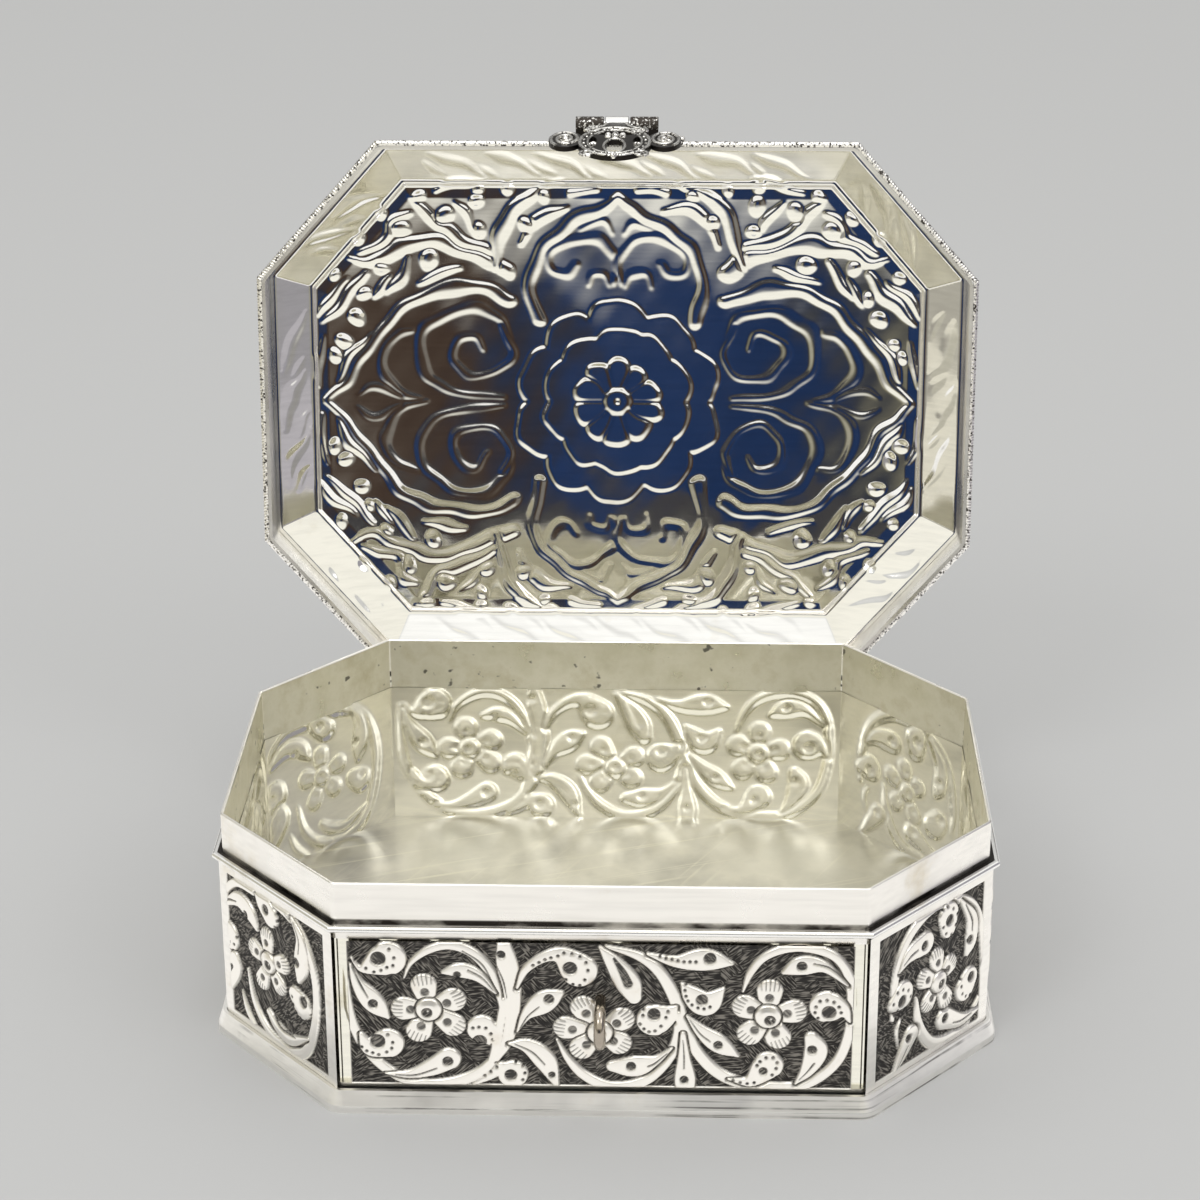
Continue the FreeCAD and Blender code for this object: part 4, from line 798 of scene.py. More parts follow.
# %% [markdown]
# ## Wall panels
# Each flat of the wall has a shallow sunk field with a plain margin round it. A grid fills the field; its
# outer row turns up to the margin so that no gap shows. A grid primitive is the right start, because chasing
# is a height over a flat sheet and needs even vertices everywhere.

# %% The plan of the box
HALF_LENGTH, HALF_DEPTH = 75.0, 56.5
RUN_X, RUN_Y = 24.9, 28.1
SLANT = math.hypot(RUN_X, RUN_Y)
SPREAD_X = (SLANT - RUN_X) / RUN_Y
SPREAD_Y = (SLANT - RUN_Y) / RUN_X
SPREAD_SLANT = (math.sqrt(2) - 1) * 0.98
CORNER_NORMAL = (RUN_Y / SLANT, RUN_X / SLANT)


def wall_flat(facing, outset):
    """One flat of the plan: its middle, its run to the right from outside, its normal and half width."""
    x, y = facing
    if y == 0:
        middle, half = (x * (HALF_LENGTH + outset), 0.0), HALF_DEPTH - RUN_Y + outset * SPREAD_Y
    elif x == 0:
        middle, half = (0.0, y * (HALF_DEPTH + outset)), HALF_LENGTH - RUN_X + outset * SPREAD_X
    else:
        middle = (x * (HALF_LENGTH - RUN_X / 2), y * (HALF_DEPTH - RUN_Y / 2))
        middle = (middle[0] + x * CORNER_NORMAL[0] * outset, middle[1] + y * CORNER_NORMAL[1] * outset)
        half = SLANT / 2 + outset * SPREAD_SLANT
    lean = CORNER_NORMAL if x and y else (1, 1)
    normal = np.array([x * lean[0], y * lean[1], 0.0])
    run = np.array([-normal[1], normal[0], 0.0])
    return np.array([*middle, 0.0]), run, normal, half


FLATS = {
    "front": (0, -1), "front_right": (1, -1), "right": (1, 0), "back_right": (1, 1),
    "back": (0, 1), "back_left": (-1, 1), "left": (-1, 0), "front_left": (-1, -1),
}
PANEL_LOW, PANEL_HIGH = 5.7, 36.7
FIELD_OUTSET, MIDDLE_OF_RELIEF = 0.55, 0.4
PANEL_MARGIN = 2.65


# %% Sheets


def rows_of(source, key):
    """Three numbers of each vertex or normal of a mesh, as rows."""
    flat = np.empty(len(source) * 3)
    source.foreach_get(key, flat)
    return flat.reshape(-1, 3)


def grid_sheet(name, across, up):
    """A flat grid of this many cells, with its vertices' places from 0 to 1 both ways."""
    bpy.ops.object.select_all(action="DESELECT")
    bpy.ops.mesh.primitive_grid_add(x_subdivisions=across, y_subdivisions=up, size=2.0)
    sheet = bpy.context.object
    sheet.name = name
    places = rows_of(sheet.data.vertices, "co")
    return sheet, (places[:, 0] + 1) / 2, (places[:, 1] + 1) / 2


def mark_bright(sheet, bright):
    """Stores how bright each vertex is, for the chased metal."""
    mark = sheet.data.attributes.new("bright", "FLOAT", "POINT")
    mark.data.foreach_set("value", np.clip(bright, 0.0, 1.0).astype(np.float32))


def finish_sheet(sheet, places, metal, body):
    """Sets the vertices in millimetres, shades the sheet smooth, and gives it its metal and body."""
    sheet.data.vertices.foreach_set("co", (places * MM).ravel())
    sheet.data.update()
    sheet.data.shade_smooth()
    sheet.data.materials.clear()
    sheet.data.materials.append(metal)
    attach(sheet, body)
    return sheet


# %% [markdown]
# Picture points fall a little off the field that the solid has, so each flat has its own small fit: a share
# and a shift along, then a share and a shift up.

# %% Which pattern goes on which flat
FIT = {
    "front": (1.0, 0.0, 0.96, 1.16),
    "front_left": (1.0, 0.0, 0.97, 2.7),
    "front_right": (0.86, 0.0, 1.0, 0.0),
}


def picture_to_flat(flat):
    """A placing function from picture points to millimetres along and up one flat."""
    middle, run, normal, _ = wall_flat(FLATS[flat], FIELD_OUTSET + MIDDLE_OF_RELIEF)
    along_share, along_shift, up_share, up_shift = FIT[flat]

    def place(across, down):
        spot = sight(across, down, middle, normal)
        along = (spot - middle) @ run
        return np.array([along * along_share + along_shift, spot[2] * up_share + up_shift])

    return place


def flipped(place):
    """The same drawing with its left and right exchanged."""
    return lambda across, down: place(across, down) * [-1, 1]


def moved(place, shift, turn=1):
    """The same drawing set aside, and turned over if turn is -1."""
    return lambda across, down: (place(across, down) - [shift, 0]) * [turn, 1]


on_front = picture_to_flat("front")
on_left_corner = picture_to_flat("front_left")
on_right_corner = picture_to_flat("front_right")
stem = on_front(690, 1030)[0] + 4.0
TWO_SCROLLS = [(FRONT_RIGHT, moved(on_front, stem, -1)), (FRONT_RIGHT, moved(on_front, stem))]
PATTERNS = {
    "front": [(FRONT, on_front)],
    "back": [(FRONT, flipped(on_front))],
    "left": TWO_SCROLLS,
    "right": TWO_SCROLLS,
    "front_left": [(CORNER_LEFT, on_left_corner)],
    "front_right": [(CORNER_RIGHT, on_right_corner)],
    "back_left": [(CORNER_LEFT, flipped(on_left_corner))],
    "back_right": [(CORNER_RIGHT, flipped(on_right_corner))],
}


def draw_pattern(sheet, flat):
    """Draws all that belongs on one flat."""
    for motifs, place in PATTERNS[flat]:
        draw(sheet, motifs, place)


# %% Chase the eight outer panels
CELL = 0.19
GROUND_RISE, MARGIN_RISE = 0.06, 0.35
UP = (0, 0, 1)


def chased_panel(flat):
    """The chased field of one flat."""
    middle, run, normal, half = wall_flat(FLATS[flat], FIELD_OUTSET)
    half = half - PANEL_MARGIN
    tall = PANEL_HIGH - PANEL_LOW
    sheet, u, v = grid_sheet(f"chased_{flat}", round(2 * half / CELL), round(tall / CELL))
    drawing = new_drawing((u * 2 - 1) * half, PANEL_LOW + v * tall)
    draw_pattern(drawing, flat)
    height = GROUND_RISE + drawing["height"]
    edge = (u < 1e-4) | (u > 1 - 1e-4) | (v < 1e-4) | (v > 1 - 1e-4)
    height[edge] = MARGIN_RISE
    drawing["bright"][edge] = 1.0
    places = middle + np.outer(drawing["u"], run) + np.outer(drawing["v"], UP) + np.outer(height, normal)
    x, y = FLATS[flat]
    kind = "front" if x == 0 else "end" if y == 0 else "falling" if x == y else "rising"
    mark_bright(sheet, drawing["bright"])
    finish_sheet(sheet, places, relief_metals[kind], "box")
    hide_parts("side_wall")
    print(sheet.name, len(sheet.data.polygons), "faces")


for flat in FLATS:
    chased_panel(flat)

# %% [markdown]
# ## Plain margins of the wall
# Round every field the sheet stays plain, and it is bent at the eight corners. Each flat starts as a grid
# with a line at every edge of its field, the field's own cell is deleted, and the eight frames are joined
# and merged. A bevel on the upright edges then gives the bends. The back has a gap for the hinge's knuckles.

# %% Frame the fields
WALL_OUTSET, WALL_LOW, WALL_TOP, BEND = 0.9, 0.85, 40.0, 1.1
NOTCH_HALF, NOTCH_LOW = 12.8, 38.475


def margin_frame(flat):
    """The plain sheet round one field, with its turned-in top."""
    half = wall_flat(FLATS[flat], WALL_OUTSET)[3]
    field = wall_flat(FLATS[flat], FIELD_OUTSET)[3] - PANEL_MARGIN
    along = [-half, -field, field, half]
    if flat == "back":
        along = [-half, -field, -NOTCH_HALF, NOTCH_HALF, field, half]
    levels = [(level, WALL_OUTSET) for level in (WALL_LOW, PANEL_LOW, PANEL_HIGH, NOTCH_LOW, WALL_TOP)]
    levels.append((WALL_TOP, 0.0))
    sheet, u, v = grid_sheet(f"margin_{flat}", len(along) - 1, len(levels) - 1)
    columns = np.rint(u * (len(along) - 1)).astype(int)
    rows = np.rint(v * (len(levels) - 1)).astype(int)
    places = np.empty((len(u), 3))
    for i, (column, row) in enumerate(zip(columns, rows)):
        level, outset = levels[row]
        middle, run, _, half_there = wall_flat(FLATS[flat], outset)
        spot = np.clip(along[column], -half_there, half_there)
        places[i] = middle + run * spot + np.multiply(UP, level)
    for face in sheet.data.polygons:
        corners = list(face.vertices)
        across = np.mean([along[columns[c]] for c in corners])
        low_row = min(rows[c] for c in corners)
        in_field = low_row == 1 and abs(across) < field
        in_notch = flat == "back" and low_row >= 3 and abs(across) < NOTCH_HALF
        face.select = bool(in_field or in_notch)
    bpy.ops.object.mode_set(mode="EDIT")
    bpy.ops.mesh.select_mode(type="FACE")
    bpy.ops.mesh.delete(type="ONLY_FACE")
    bpy.ops.object.mode_set(mode="OBJECT")
    sheet.data.vertices.foreach_set("co", (places * MM).ravel())
    return sheet


def joined(name, pieces):
    """Joins pieces into the first of them."""
    bpy.ops.object.select_all(action="DESELECT")
    for piece in pieces:
        piece.select_set(True)
    bpy.context.view_layer.objects.active = pieces[0]
    if len(pieces) > 1:
        bpy.ops.object.join()
    pieces[0].name = name
    return pieces[0]


margins = joined("wall_margins", [margin_frame(flat) for flat in FLATS])
bpy.ops.object.mode_set(mode="EDIT")
bpy.ops.mesh.select_all(action="SELECT")
bpy.ops.mesh.remove_doubles(threshold=0.08 * MM)
bpy.ops.mesh.normals_make_consistent(inside=False)
bpy.ops.mesh.select_all(action="DESELECT")
bpy.ops.object.mode_set(mode="OBJECT")

# %% Bend the corners
ends = [wall_flat(facing, WALL_OUTSET) for facing in FLATS.values()]
bends = [middle + run * half for middle, run, _, half in ends]
for edge in margins.data.edges:
    one, two = (np.array(margins.data.vertices[i].co) / MM for i in edge.vertices)
    upright = np.hypot(*(one - two)[:2]) < 0.1 and abs(one[2] - two[2]) > 0.1
    edge.select = bool(upright and min(np.hypot(*(one - bend)[:2]) for bend in bends) < 0.1)
bpy.ops.object.mode_set(mode="EDIT")
bpy.ops.mesh.select_mode(type="EDGE")
bpy.ops.mesh.bevel(offset=BEND * MM, segments=4, affect="EDGES")
bpy.ops.object.mode_set(mode="OBJECT")
bpy.ops.object.shade_smooth_by_angle(angle=math.radians(35))
margins.data.materials.clear()
margins.data.materials.append(collar_metal)
margins.data.materials.append(dark_metal)
# Painted shade: faces that look up, the narrow ledge at the wall's top under the collar, take the dark metal
# to stand for the shadow of the gap there.
for face in margins.data.polygons:
    face.material_index = 1 if face.normal.z > 0.9 else 0
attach(margins, "box")
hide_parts("side_wall")
print("wall margins:", len(margins.data.polygons), "faces")

# %% [markdown]
# ## Wall lining
# Chasing pushes the sheet out, so the inside shows the same pattern hollow and softened. One coarser sheet
# per flat is enough: the pattern is drawn again, blurred and turned round.

# %% Reversed relief inside the wall
LINING_CELL = 0.36
LINING_LOW, LINING_HIGH, LINING_OUTSET, HOLLOW = 5.0, 37.0, -0.02, 0.8


def running_mean(values, reach, axis):
    """The mean of each value and its neighbours along one axis."""
    pads = [(reach, reach) if a == axis else (0, 0) for a in (0, 1)]
    total = np.cumsum(np.insert(np.pad(values, pads, mode="reflect"), 0, 0, axis=axis), axis=axis)
    size = 2 * reach + 1
    ends = np.take(total, range(size, total.shape[axis]), axis)
    return (ends - np.take(total, range(total.shape[axis] - size), axis)) / size


def softened(values, u, v, passes, reach=1):
    """A soft copy of a grid of heights: repeated running means along both ways."""
    order = np.lexsort((u.round(6), v.round(6)))
    soft = values[order].reshape(len(np.unique(v.round(6))), len(np.unique(u.round(6))))
    for _ in range(passes):
        soft = running_mean(running_mean(soft, reach, 0), reach, 1)
    result = np.empty(len(values))
    result[order] = soft.ravel()
    return result


def lining_panel(flat):
    """The inside of one flat."""
    middle, run, normal, half = wall_flat(FLATS[flat], LINING_OUTSET)
    tall = LINING_HIGH - LINING_LOW
    cells = (round(2 * half / LINING_CELL), round(tall / LINING_CELL))
    sheet, u, v = grid_sheet(f"lining_{flat}", *cells)
    drawing = new_drawing((1 - u * 2) * half, LINING_LOW + v * tall)
    draw_pattern(drawing, flat)
    soft = softened(drawing["height"], u, v, 1)
    fade = soft_step(np.minimum(u, 1 - u) * 2 * half, 0.0, 2.0)
    hollow = HOLLOW - HOLLOW * soft * fade
    places = middle + np.outer(drawing["u"], run) + np.outer(drawing["v"], UP) - np.outer(hollow, normal)
    return finish_sheet(sheet, places, inside_metal, "box")


for flat in FLATS:
    print(lining_panel(flat).name, "lined")

# %% [markdown]
# The collar's inner face was never polished: it has the cloudy olive tint of the soldering heat and a few
# pits. A thin sheet on each flat carries that finish.

# %% Line the collar


def heated_metal(name):
    """Pale olive metal with darker clouds and small pits."""
    made, tree, shader = new_finish(name)
    cloud = noise(tree, 70.0, 6.0, roughness=0.65)
    shades = [(0.34, (0.74, 0.72, 0.60)), (0.52, (0.86, 0.84, 0.74)), (0.72, (0.66, 0.62, 0.47))]
    pits = ramp(tree, noise(tree, 420.0, 2.0), [(0.70, 1.0), (0.76, 0.25)])
    tint = blend(tree, 1.0, ramp(tree, cloud, shades), pits, "MULTIPLY")
    coat(tree, shader, tint, ramp(tree, cloud, [(0.3, 0.24), (0.7, 0.42)]))
    bump(tree, shader, noise(tree, 150.0, 5.0), 0.25, 0.0002)
    return made


heated = heated_metal("heated_metal")
COLLAR_LOW, COLLAR_HIGH, COLLAR_INSIDE = 36.65, 48.2, -0.68
for flat in FLATS:
    middle, run, normal, half = wall_flat(FLATS[flat], COLLAR_INSIDE)
    sheet, u, v = grid_sheet(f"collar_lining_{flat}", round(half), 6)
    sag = 0.10 * np.sin(u * 9.0 + v * 2.0) * soft_step(np.minimum(u, 1 - u), 0.0, 0.2)
    level = COLLAR_LOW + v * (COLLAR_HIGH - COLLAR_LOW)
    places = middle + np.outer((1 - u * 2) * half, run) + np.outer(level, UP) - np.outer(np.abs(sag), normal)
    finish_sheet(sheet, places, heated, "box")
print("collar lined")

# %% [markdown]
# ## Lid
# The lid's sheet is pressed: a shoulder, a sloping border with slanted leaves, a hollow ridge and a field
# with a rosette, four pointed lobes and vines in the corners. It is drawn flat, as the closed lid seen from
# above, and then swung open about the hinge like the solid.

# %% The lid's plan and its swing
HINGE_Y, HINGE_Z, OPEN = 58.35, 40.125, math.radians(97.0)
SHOULDER, BORDER_FOOT, BORDER_HEAD, RIDGE_INNER = 1.05, -0.7, -7.7, -9.1
SHOULDER_TOP, BORDER_RISE, RIDGE_RISE, FIELD_RISE, SHEET = 49.35, 3.5, 4.1, 3.3, 0.7


def swung(places):
    """Turns points of the closed lid to where the open lid holds them."""
    depth, height = places[:, 1] - HINGE_Y, places[:, 2] - HINGE_Z
    opened = places.copy()
    opened[:, 1] = HINGE_Y + depth * math.cos(OPEN) + height * math.sin(OPEN)
    opened[:, 2] = HINGE_Z - depth * math.sin(OPEN) + height * math.cos(OPEN)
    return opened


CORNER_REACH = (HALF_LENGTH - RUN_X) * CORNER_NORMAL[0] + HALF_DEPTH * CORNER_NORMAL[1]


def outset_of(x, y):
    """How far a point of the plan lies outside the collar's outline."""
    slanted = np.abs(x) * CORNER_NORMAL[0] + np.abs(y) * CORNER_NORMAL[1] - CORNER_REACH
    return np.maximum.reduce([np.abs(x) - HALF_LENGTH, np.abs(y) - HALF_DEPTH, slanted])


def lid_profile(outset, inner):
    """The pressed shape across the rim: shoulder, slope, ridge and field, softer on the inside."""
    if inner:
        steps = [
            (RIDGE_INNER - 2.4, FIELD_RISE), (RIDGE_INNER, FIELD_RISE - 0.2),
            (RIDGE_INNER + 0.6, BORDER_RISE + 0.1), (BORDER_HEAD, BORDER_RISE),
        ]
    else:
        steps = [
            (RIDGE_INNER - 0.5, FIELD_RISE), (RIDGE_INNER, FIELD_RISE), (RIDGE_INNER + 0.45, RIDGE_RISE),
            (BORDER_HEAD - 0.45, RIDGE_RISE), (BORDER_HEAD + 0.2, BORDER_RISE - 0.1),
        ]
    return SHOULDER_TOP + np.interp(outset, *zip(*steps, (BORDER_FOOT, 0.0)))


# %% The lid's pattern
LID_SCALE = 4.47


def pillows(sheet, count, centre, size, base, rise, flank, part=1.0):
    """A ring of round-ended pillows laid over the drawing, parted by more or less of a groove."""
    across, along = sheet["u"], sheet["v"]
    radius, wedge = np.hypot(across, along), math.pi / count
    angle = (np.arctan2(across, along) + wedge) % (2 * wedge) - wedge
    aside, out = radius * np.sin(angle), radius * np.cos(angle)
    end = size - np.where(out < centre, np.abs(aside), np.hypot(aside, out - centre))
    apart = radius * np.sin(wedge - np.abs(angle))
    groove = part * (1 - soft_step(apart, 0.0, 0.5))
    share = np.clip(end / flank, 0.0, 1.0) * (1 - groove)
    inside = end > 0
    sheet["height"][inside] = (base + rise * share * (2 - share))[inside]
    sheet["bright"][inside] = soft_step(np.minimum(end, apart), 0.15, 0.6)[inside]


def on_lid(points, sx, sy):
    """Picture units to millimetres, in one of the four mirrored quarters."""
    return [(x * sx / LID_SCALE, y * sy / LID_SCALE) for x, y in points]


# %% [markdown]
# Points are picture units from the rosette's middle, for one quarter of the field, with half widths in
# millimetres. Four mirrored copies fill the lid. Bands that the smith sank with a blunt punch are round and
# soft, so their flanks are wide here and the whole sheet is smoothed before it is pressed.

# %% One quarter of the lid's pattern
LOBE_TALL = (
    [(-78, -82), (-84, -118), (-72, -150), (-46, -176), (-18, -188), (0, -203)],
    [1.5, 1.4, 1.4, 1.3, 1.2, 0.8],
)
LOBE_WIDE = (
    [(-104, -100), (-140, -113), (-182, -108), (-214, -90), (-240, -62), (-262, -28), (-288, 0)],
    [1.5, 1.5, 1.4, 1.4, 1.3, 1.2, 0.8],
)
SCROLLS = [
    ([(-112, -4), (-150, -8), (-187, -25), (-192, -60), (-172, -85), (-142, -93), (-112, -80), (-102, -52)],
     [0.6, 1.0, 1.2, 1.2, 1.2, 1.1, 1.0, 0.6]),
    ([(-112, -74), (-103, -50), (-117, -30), (-142, -25), (-162, -40), (-159, -62), (-139, -67),
      (-129, -52)],
     [0.6, 0.8, 0.9, 0.9, 0.9, 0.9, 0.9, 0.7]),
    ([(-187, 0), (-217, -10), (-232, -40), (-217, -65), (-197, -70)], [0.6, 1.1, 1.1, 0.9, 0.5]),
    ([(-214, -4), (-240, -14), (-256, -6)], [0.5, 1.0, 0.4]),
    ([(-4, -118), (0, -140), (-20, -160), (-47, -162), (-64, -146), (-62, -128), (-48, -124), (-42, -136)],
     [0.7, 1.0, 1.1, 1.1, 1.0, 0.9, 0.9, 0.7]),
    ([(-8, -116), (-14, -128), (-28, -128), (-30, -114)], [0.5, 0.8, 0.8, 0.5]),
    ([(-6, -166), (-16, -178), (-34, -172)], [0.5, 0.9, 0.4]),
]
VINES = [
    ([(-107, -130), (-137, -148), (-177, -158), (-217, -150), (-242, -137), (-265, -142)],
     [1.6, 1.8, 1.8, 1.4, 1.0, 0.4]),
    ([(-252, -148), (-222, -160), (-214, -178), (-200, -186)], [0.4, 1.2, 1.3, 0.6]),
    ([(-242, -127), (-267, -100), (-287, -78)], [0.6, 1.2, 0.3]),
    ([(-222, -125), (-232, -108), (-239, -100)], [0.5, 1.0, 0.4]),
    ([(-205, -142), (-215, -120), (-227, -105)], [0.6, 1.1, 0.4]),
    ([(-119, -148), (-157, -165), (-182, -185), (-197, -205)], [1.0, 1.4, 1.2, 0.5]),
    ([(-177, -205), (-152, -215), (-127, -220)], [0.5, 1.2, 0.5]),
    ([(-122, -135), (-112, -170), (-92, -200), (-57, -215)], [0.8, 1.5, 1.4, 0.5]),
    ([(-97, -155), (-77, -185), (-47, -190)], [0.6, 1.4, 0.5]),
    ([(-47, -205), (-17, -210)], [0.8, 0.8]),
    ([(-242, -70), (-267, -40), (-277, -20)], [0.5, 1.1, 0.4]),
    ([(-262, -118), (-284, -100), (-292, -84)], [0.4, 1.0, 0.4]),
    ([(-150, -130), (-172, -126), (-196, -120)], [0.5, 1.0, 0.4]),
    ([(-286, -62), (-292, -40), (-294, -14)], [0.4, 1.0, 0.4]),
    ([(-160, -196), (-146, -184), (-140, -172)], [0.4, 1.0, 0.5]),
]
BALLS = [
    (-209, -168, 1.8), (-185, -139, 1.9), (-170, -186, 1.8), (-137, -195, 1.6), (-137, -210, 1.4),
    (-132, -170, 1.6), (-90, -175, 1.7), (-255, -85, 1.8), (-267, -58, 1.5), (-277, -45, 1.4),
    (-228, -134, 1.3), (-104, -212, 1.3), (-74, -202, 1.3), (-228, -184, 1.4), (-252, -164, 1.4),
    (-276, -124, 1.3), (-246, -106, 1.3), (-190, -204, 1.3),
]


def draw_rosette(sheet):
    """Two rings of broad pillows, ten petals and a button, each on top of the last."""
    button_size = 14 / LID_SCALE
    pillows(sheet, 10, 70 / LID_SCALE, 33 / LID_SCALE, 0.0, 0.17, 0.9, 0.12)
    pillows(sheet, 10, 44 / LID_SCALE, 30 / LID_SCALE, 0.16, 0.17, 0.9, 0.12)
    pillows(sheet, 10, 31.5 / LID_SCALE, 14 / LID_SCALE, 0.32, 0.2, 1.3, 0.6)
    near, depth = depth_in(sheet, [([(0, 0)], [button_size])])
    sheet["height"][near[depth > 0]] = 0.5
    swell(sheet, ([(0, 0)], [button_size]), rise=0.14, flank=1.1, moat=0)
    cut(sheet, ([(0, 0)], [0.5]), sink=0.12)


def draw_field(sheet):
    """Vines, balls, lobes and scrolls, mirrored to all sides, with the rosette on top."""
    quarters = [(sx, sy) for sx in (1, -1) for sy in (1, -1)]
    for way in quarters:
        for points, widths in VINES:
            swell(sheet, (on_lid(points, *way), widths), rise=0.26, flank=1.3)
        for x, y, size in BALLS:
            swell(sheet, (on_lid([(x, y)], *way), [size]), rise=0.30, flank=1.3)
        for points, widths in SCROLLS:
            swell(sheet, (on_lid(points, *way), widths), rise=0.075, flank=0.9)
    for points, widths in (LOBE_TALL, LOBE_WIDE):
        swell(sheet, *((on_lid(points, *way), widths) for way in quarters), rise=0.16, flank=1.2)
    draw_rosette(sheet)


# %% Border, waver of the hand and hammer marks
BORDER_MIDDLE, BORDER_END, LEAF_PITCH = 3.5, 8.0, 11.0
BORDER_LEAF = [(0.0, 1.2), (0.45, 2.2), (1.05, 6.0)]
BORDER_CURL = [(0.3, 6.2), (0.1, 4.6), (-0.1, 3.4)]


def draw_border(sheet):
    """Long soft leaves along the middle of each side of the sloping border."""
    for facing in FLATS.values():
        middle, run, normal, half = wall_flat(facing, BORDER_FOOT - BORDER_MIDDLE)
        free = 2 * (half - BORDER_END)
        count = max(1, round(free / LEAF_PITCH))
        step = free / count

        def spots(start, places):
            there = [middle + run * (start + a * step) - normal * (b - BORDER_MIDDLE) for a, b in places]
            return [tuple(place[:2]) for place in there]

        for i in range(count):
            start = BORDER_END - half + i * step
            swell(sheet, (spots(start, BORDER_LEAF), [0.4, 1.5, 0.4]), rise=0.13, flank=1.5)
            swell(sheet, (spots(start, BORDER_CURL), [0.3, 0.9, 0.3]), rise=0.09, flank=1.0)


def wobbled(x, y):
    """Moves the pattern by less than a millimetre, as a hand does, but not on the middle lines."""
    steady = soft_step(np.abs(x), 0.0, 4.0) * soft_step(np.abs(y), 0.0, 4.0)
    across = 0.5 * np.sin(0.33 * x + 0.21 * y + 0.5) + 0.3 * np.sin(-0.61 * x + 0.47 * y + 2.1)
    along = 0.5 * np.sin(0.27 * x - 0.35 * y + 1.2) + 0.3 * np.sin(0.55 * x + 0.6 * y + 0.3)
    return x + steady * across, y + steady * along


HAMMER_WAVES = [
    (0.03, 0.21, 0.13, 0.4), (0.026, -0.16, 0.26, 1.9), (0.014, 0.42, -0.28, 2.7), (0.005, 0.9, 0.7, 0.8),
]


def hammered(x, y):
    """Slow waves that the hammer leaves in the sheet, in millimetres."""
    level = sum(size * np.sin(a * x + b * y + start) for size, a, b, start in HAMMER_WAVES)
    return level * soft_step(-outset_of(x, y), 1.8, 7.0)


# %% [markdown]
# One half of the lid at a time: a grid is cut to the plan's slanted corners with bisect, so that its edge
# is clean, and then pressed. The outer face stands out more than the soft inner face. The halves meet in the
# middle and share their normals there, so that no seam shows in the polish.

# %% Press the lid's two skins
OUTSIDE_RELIEF, INSIDE_DROP, OUTSIDE_DROP, SAME_PLACE = 1.8, SHEET + 0.2, 0.15, 0.02 * MM


def lid_half(name, side, outset, cell, inner):
    """Half of the lid: drawn on a flat grid, cut to the plan's corners, pressed and swung open."""
    long_side, short_side = HALF_LENGTH + outset, HALF_DEPTH + outset
    sheet, u, v = grid_sheet(name, round(long_side / cell), round(2 * short_side / cell))
    flat = np.column_stack([side * u * long_side, (v * 2 - 1) * short_side * side, np.zeros(len(u))])
    drawing = new_drawing(*wobbled(flat[:, 0], flat[:, 1]))
    draw_border(drawing)
    draw_field(drawing)
    inside = -outset_of(flat[:, 0], flat[:, 1])
    flat[:, 2] = softened(drawing["height"], u, v, 1) * soft_step(inside, 0.6, 1.4)
    ground = soft_step(inside, 9.0, 9.6) + soft_step(inside, 1.2, 1.6) * (1 - soft_step(inside, 7.0, 7.6))
    mark_bright(sheet, np.maximum(drawing["bright"], 1 - ground))
    sheet.data.vertices.foreach_set("co", flat.ravel())
    sheet.data.update()
    bpy.ops.object.mode_set(mode="EDIT")
    for way in (1, -1):
        facing = Vector((side * CORNER_NORMAL[0], way * CORNER_NORMAL[1], 0.0))
        bpy.ops.mesh.select_all(action="SELECT")
        bpy.ops.mesh.bisect(plane_co=facing * (CORNER_REACH + outset), plane_no=facing, clear_outer=True)
    bpy.ops.object.mode_set(mode="OBJECT")
    places = rows_of(sheet.data.vertices, "co")
    relief = places[:, 2] * (1.0 if inner else OUTSIDE_RELIEF) + hammered(places[:, 0], places[:, 1])
    under = INSIDE_DROP if inner else OUTSIDE_DROP
    places[:, 2] = lid_profile(outset_of(places[:, 0], places[:, 1]), inner) + relief - under
    if inner:
        sheet.data.flip_normals()
    return finish_sheet(sheet, swung(places), lid_inside_metal if inner else relief_metals["front"], "lid")


def share_seams(sheets):
    """Gives vertices that lie in the same place the mean of their normals."""
    places = [rows_of(sheet.data.vertices, "co") for sheet in sheets]
    normals = [rows_of(sheet.data.vertex_normals, "vector") for sheet in sheets]
    spots = np.rint(np.vstack(places) / SAME_PLACE).astype(int)
    group = np.unique(spots, axis=0, return_inverse=True)[1].ravel()
    total = np.zeros((group.max() + 1, 3))
    np.add.at(total, group, np.vstack(normals))
    mean = (total / np.linalg.norm(total, axis=1)[:, None])[group]
    for sheet in sheets:
        own, mean = mean[:len(sheet.data.vertices)], mean[len(sheet.data.vertices):]
        sheet.data.normals_split_custom_set_from_vertices(own)


INSIDE_OUTSET, INSIDE_CELL, OUTSIDE_CELL = 0.30, 0.29, 0.36
sides = (("left", -1), ("right", 1))
SKINS = (("inside", True, INSIDE_OUTSET, INSIDE_CELL), ("outside", False, SHOULDER, OUTSIDE_CELL))
for skin, inner, outset, cell in SKINS:
    halves = [lid_half(f"lid_{skin}_{word}", side, outset, cell, inner) for word, side in sides]
    for half in halves:
        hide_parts("lid_top")
        print(half.name, len(half.data.polygons), "faces")
    share_seams(halves)

# %% [markdown]
# ## Milled wire on the lid's edge
# The lid's lower edge is stiffened with a half-round wire that was rolled between milled wheels, so it is
# notched all along. One grid per side, or two at the back with the hinge between them, carries both the
# half-round section and the notches, and is swung open with the lid.

# %% Mill the edge wire
WIRE_SEAT, WIRE_REACH, WIRE_LEVEL, WIRE_HALF = 1.1, 1.15, 40.85, 0.6
NOTCH_PITCH, NOTCH_DEPTH, WIRE_CELL = 0.62, 0.12, 0.155


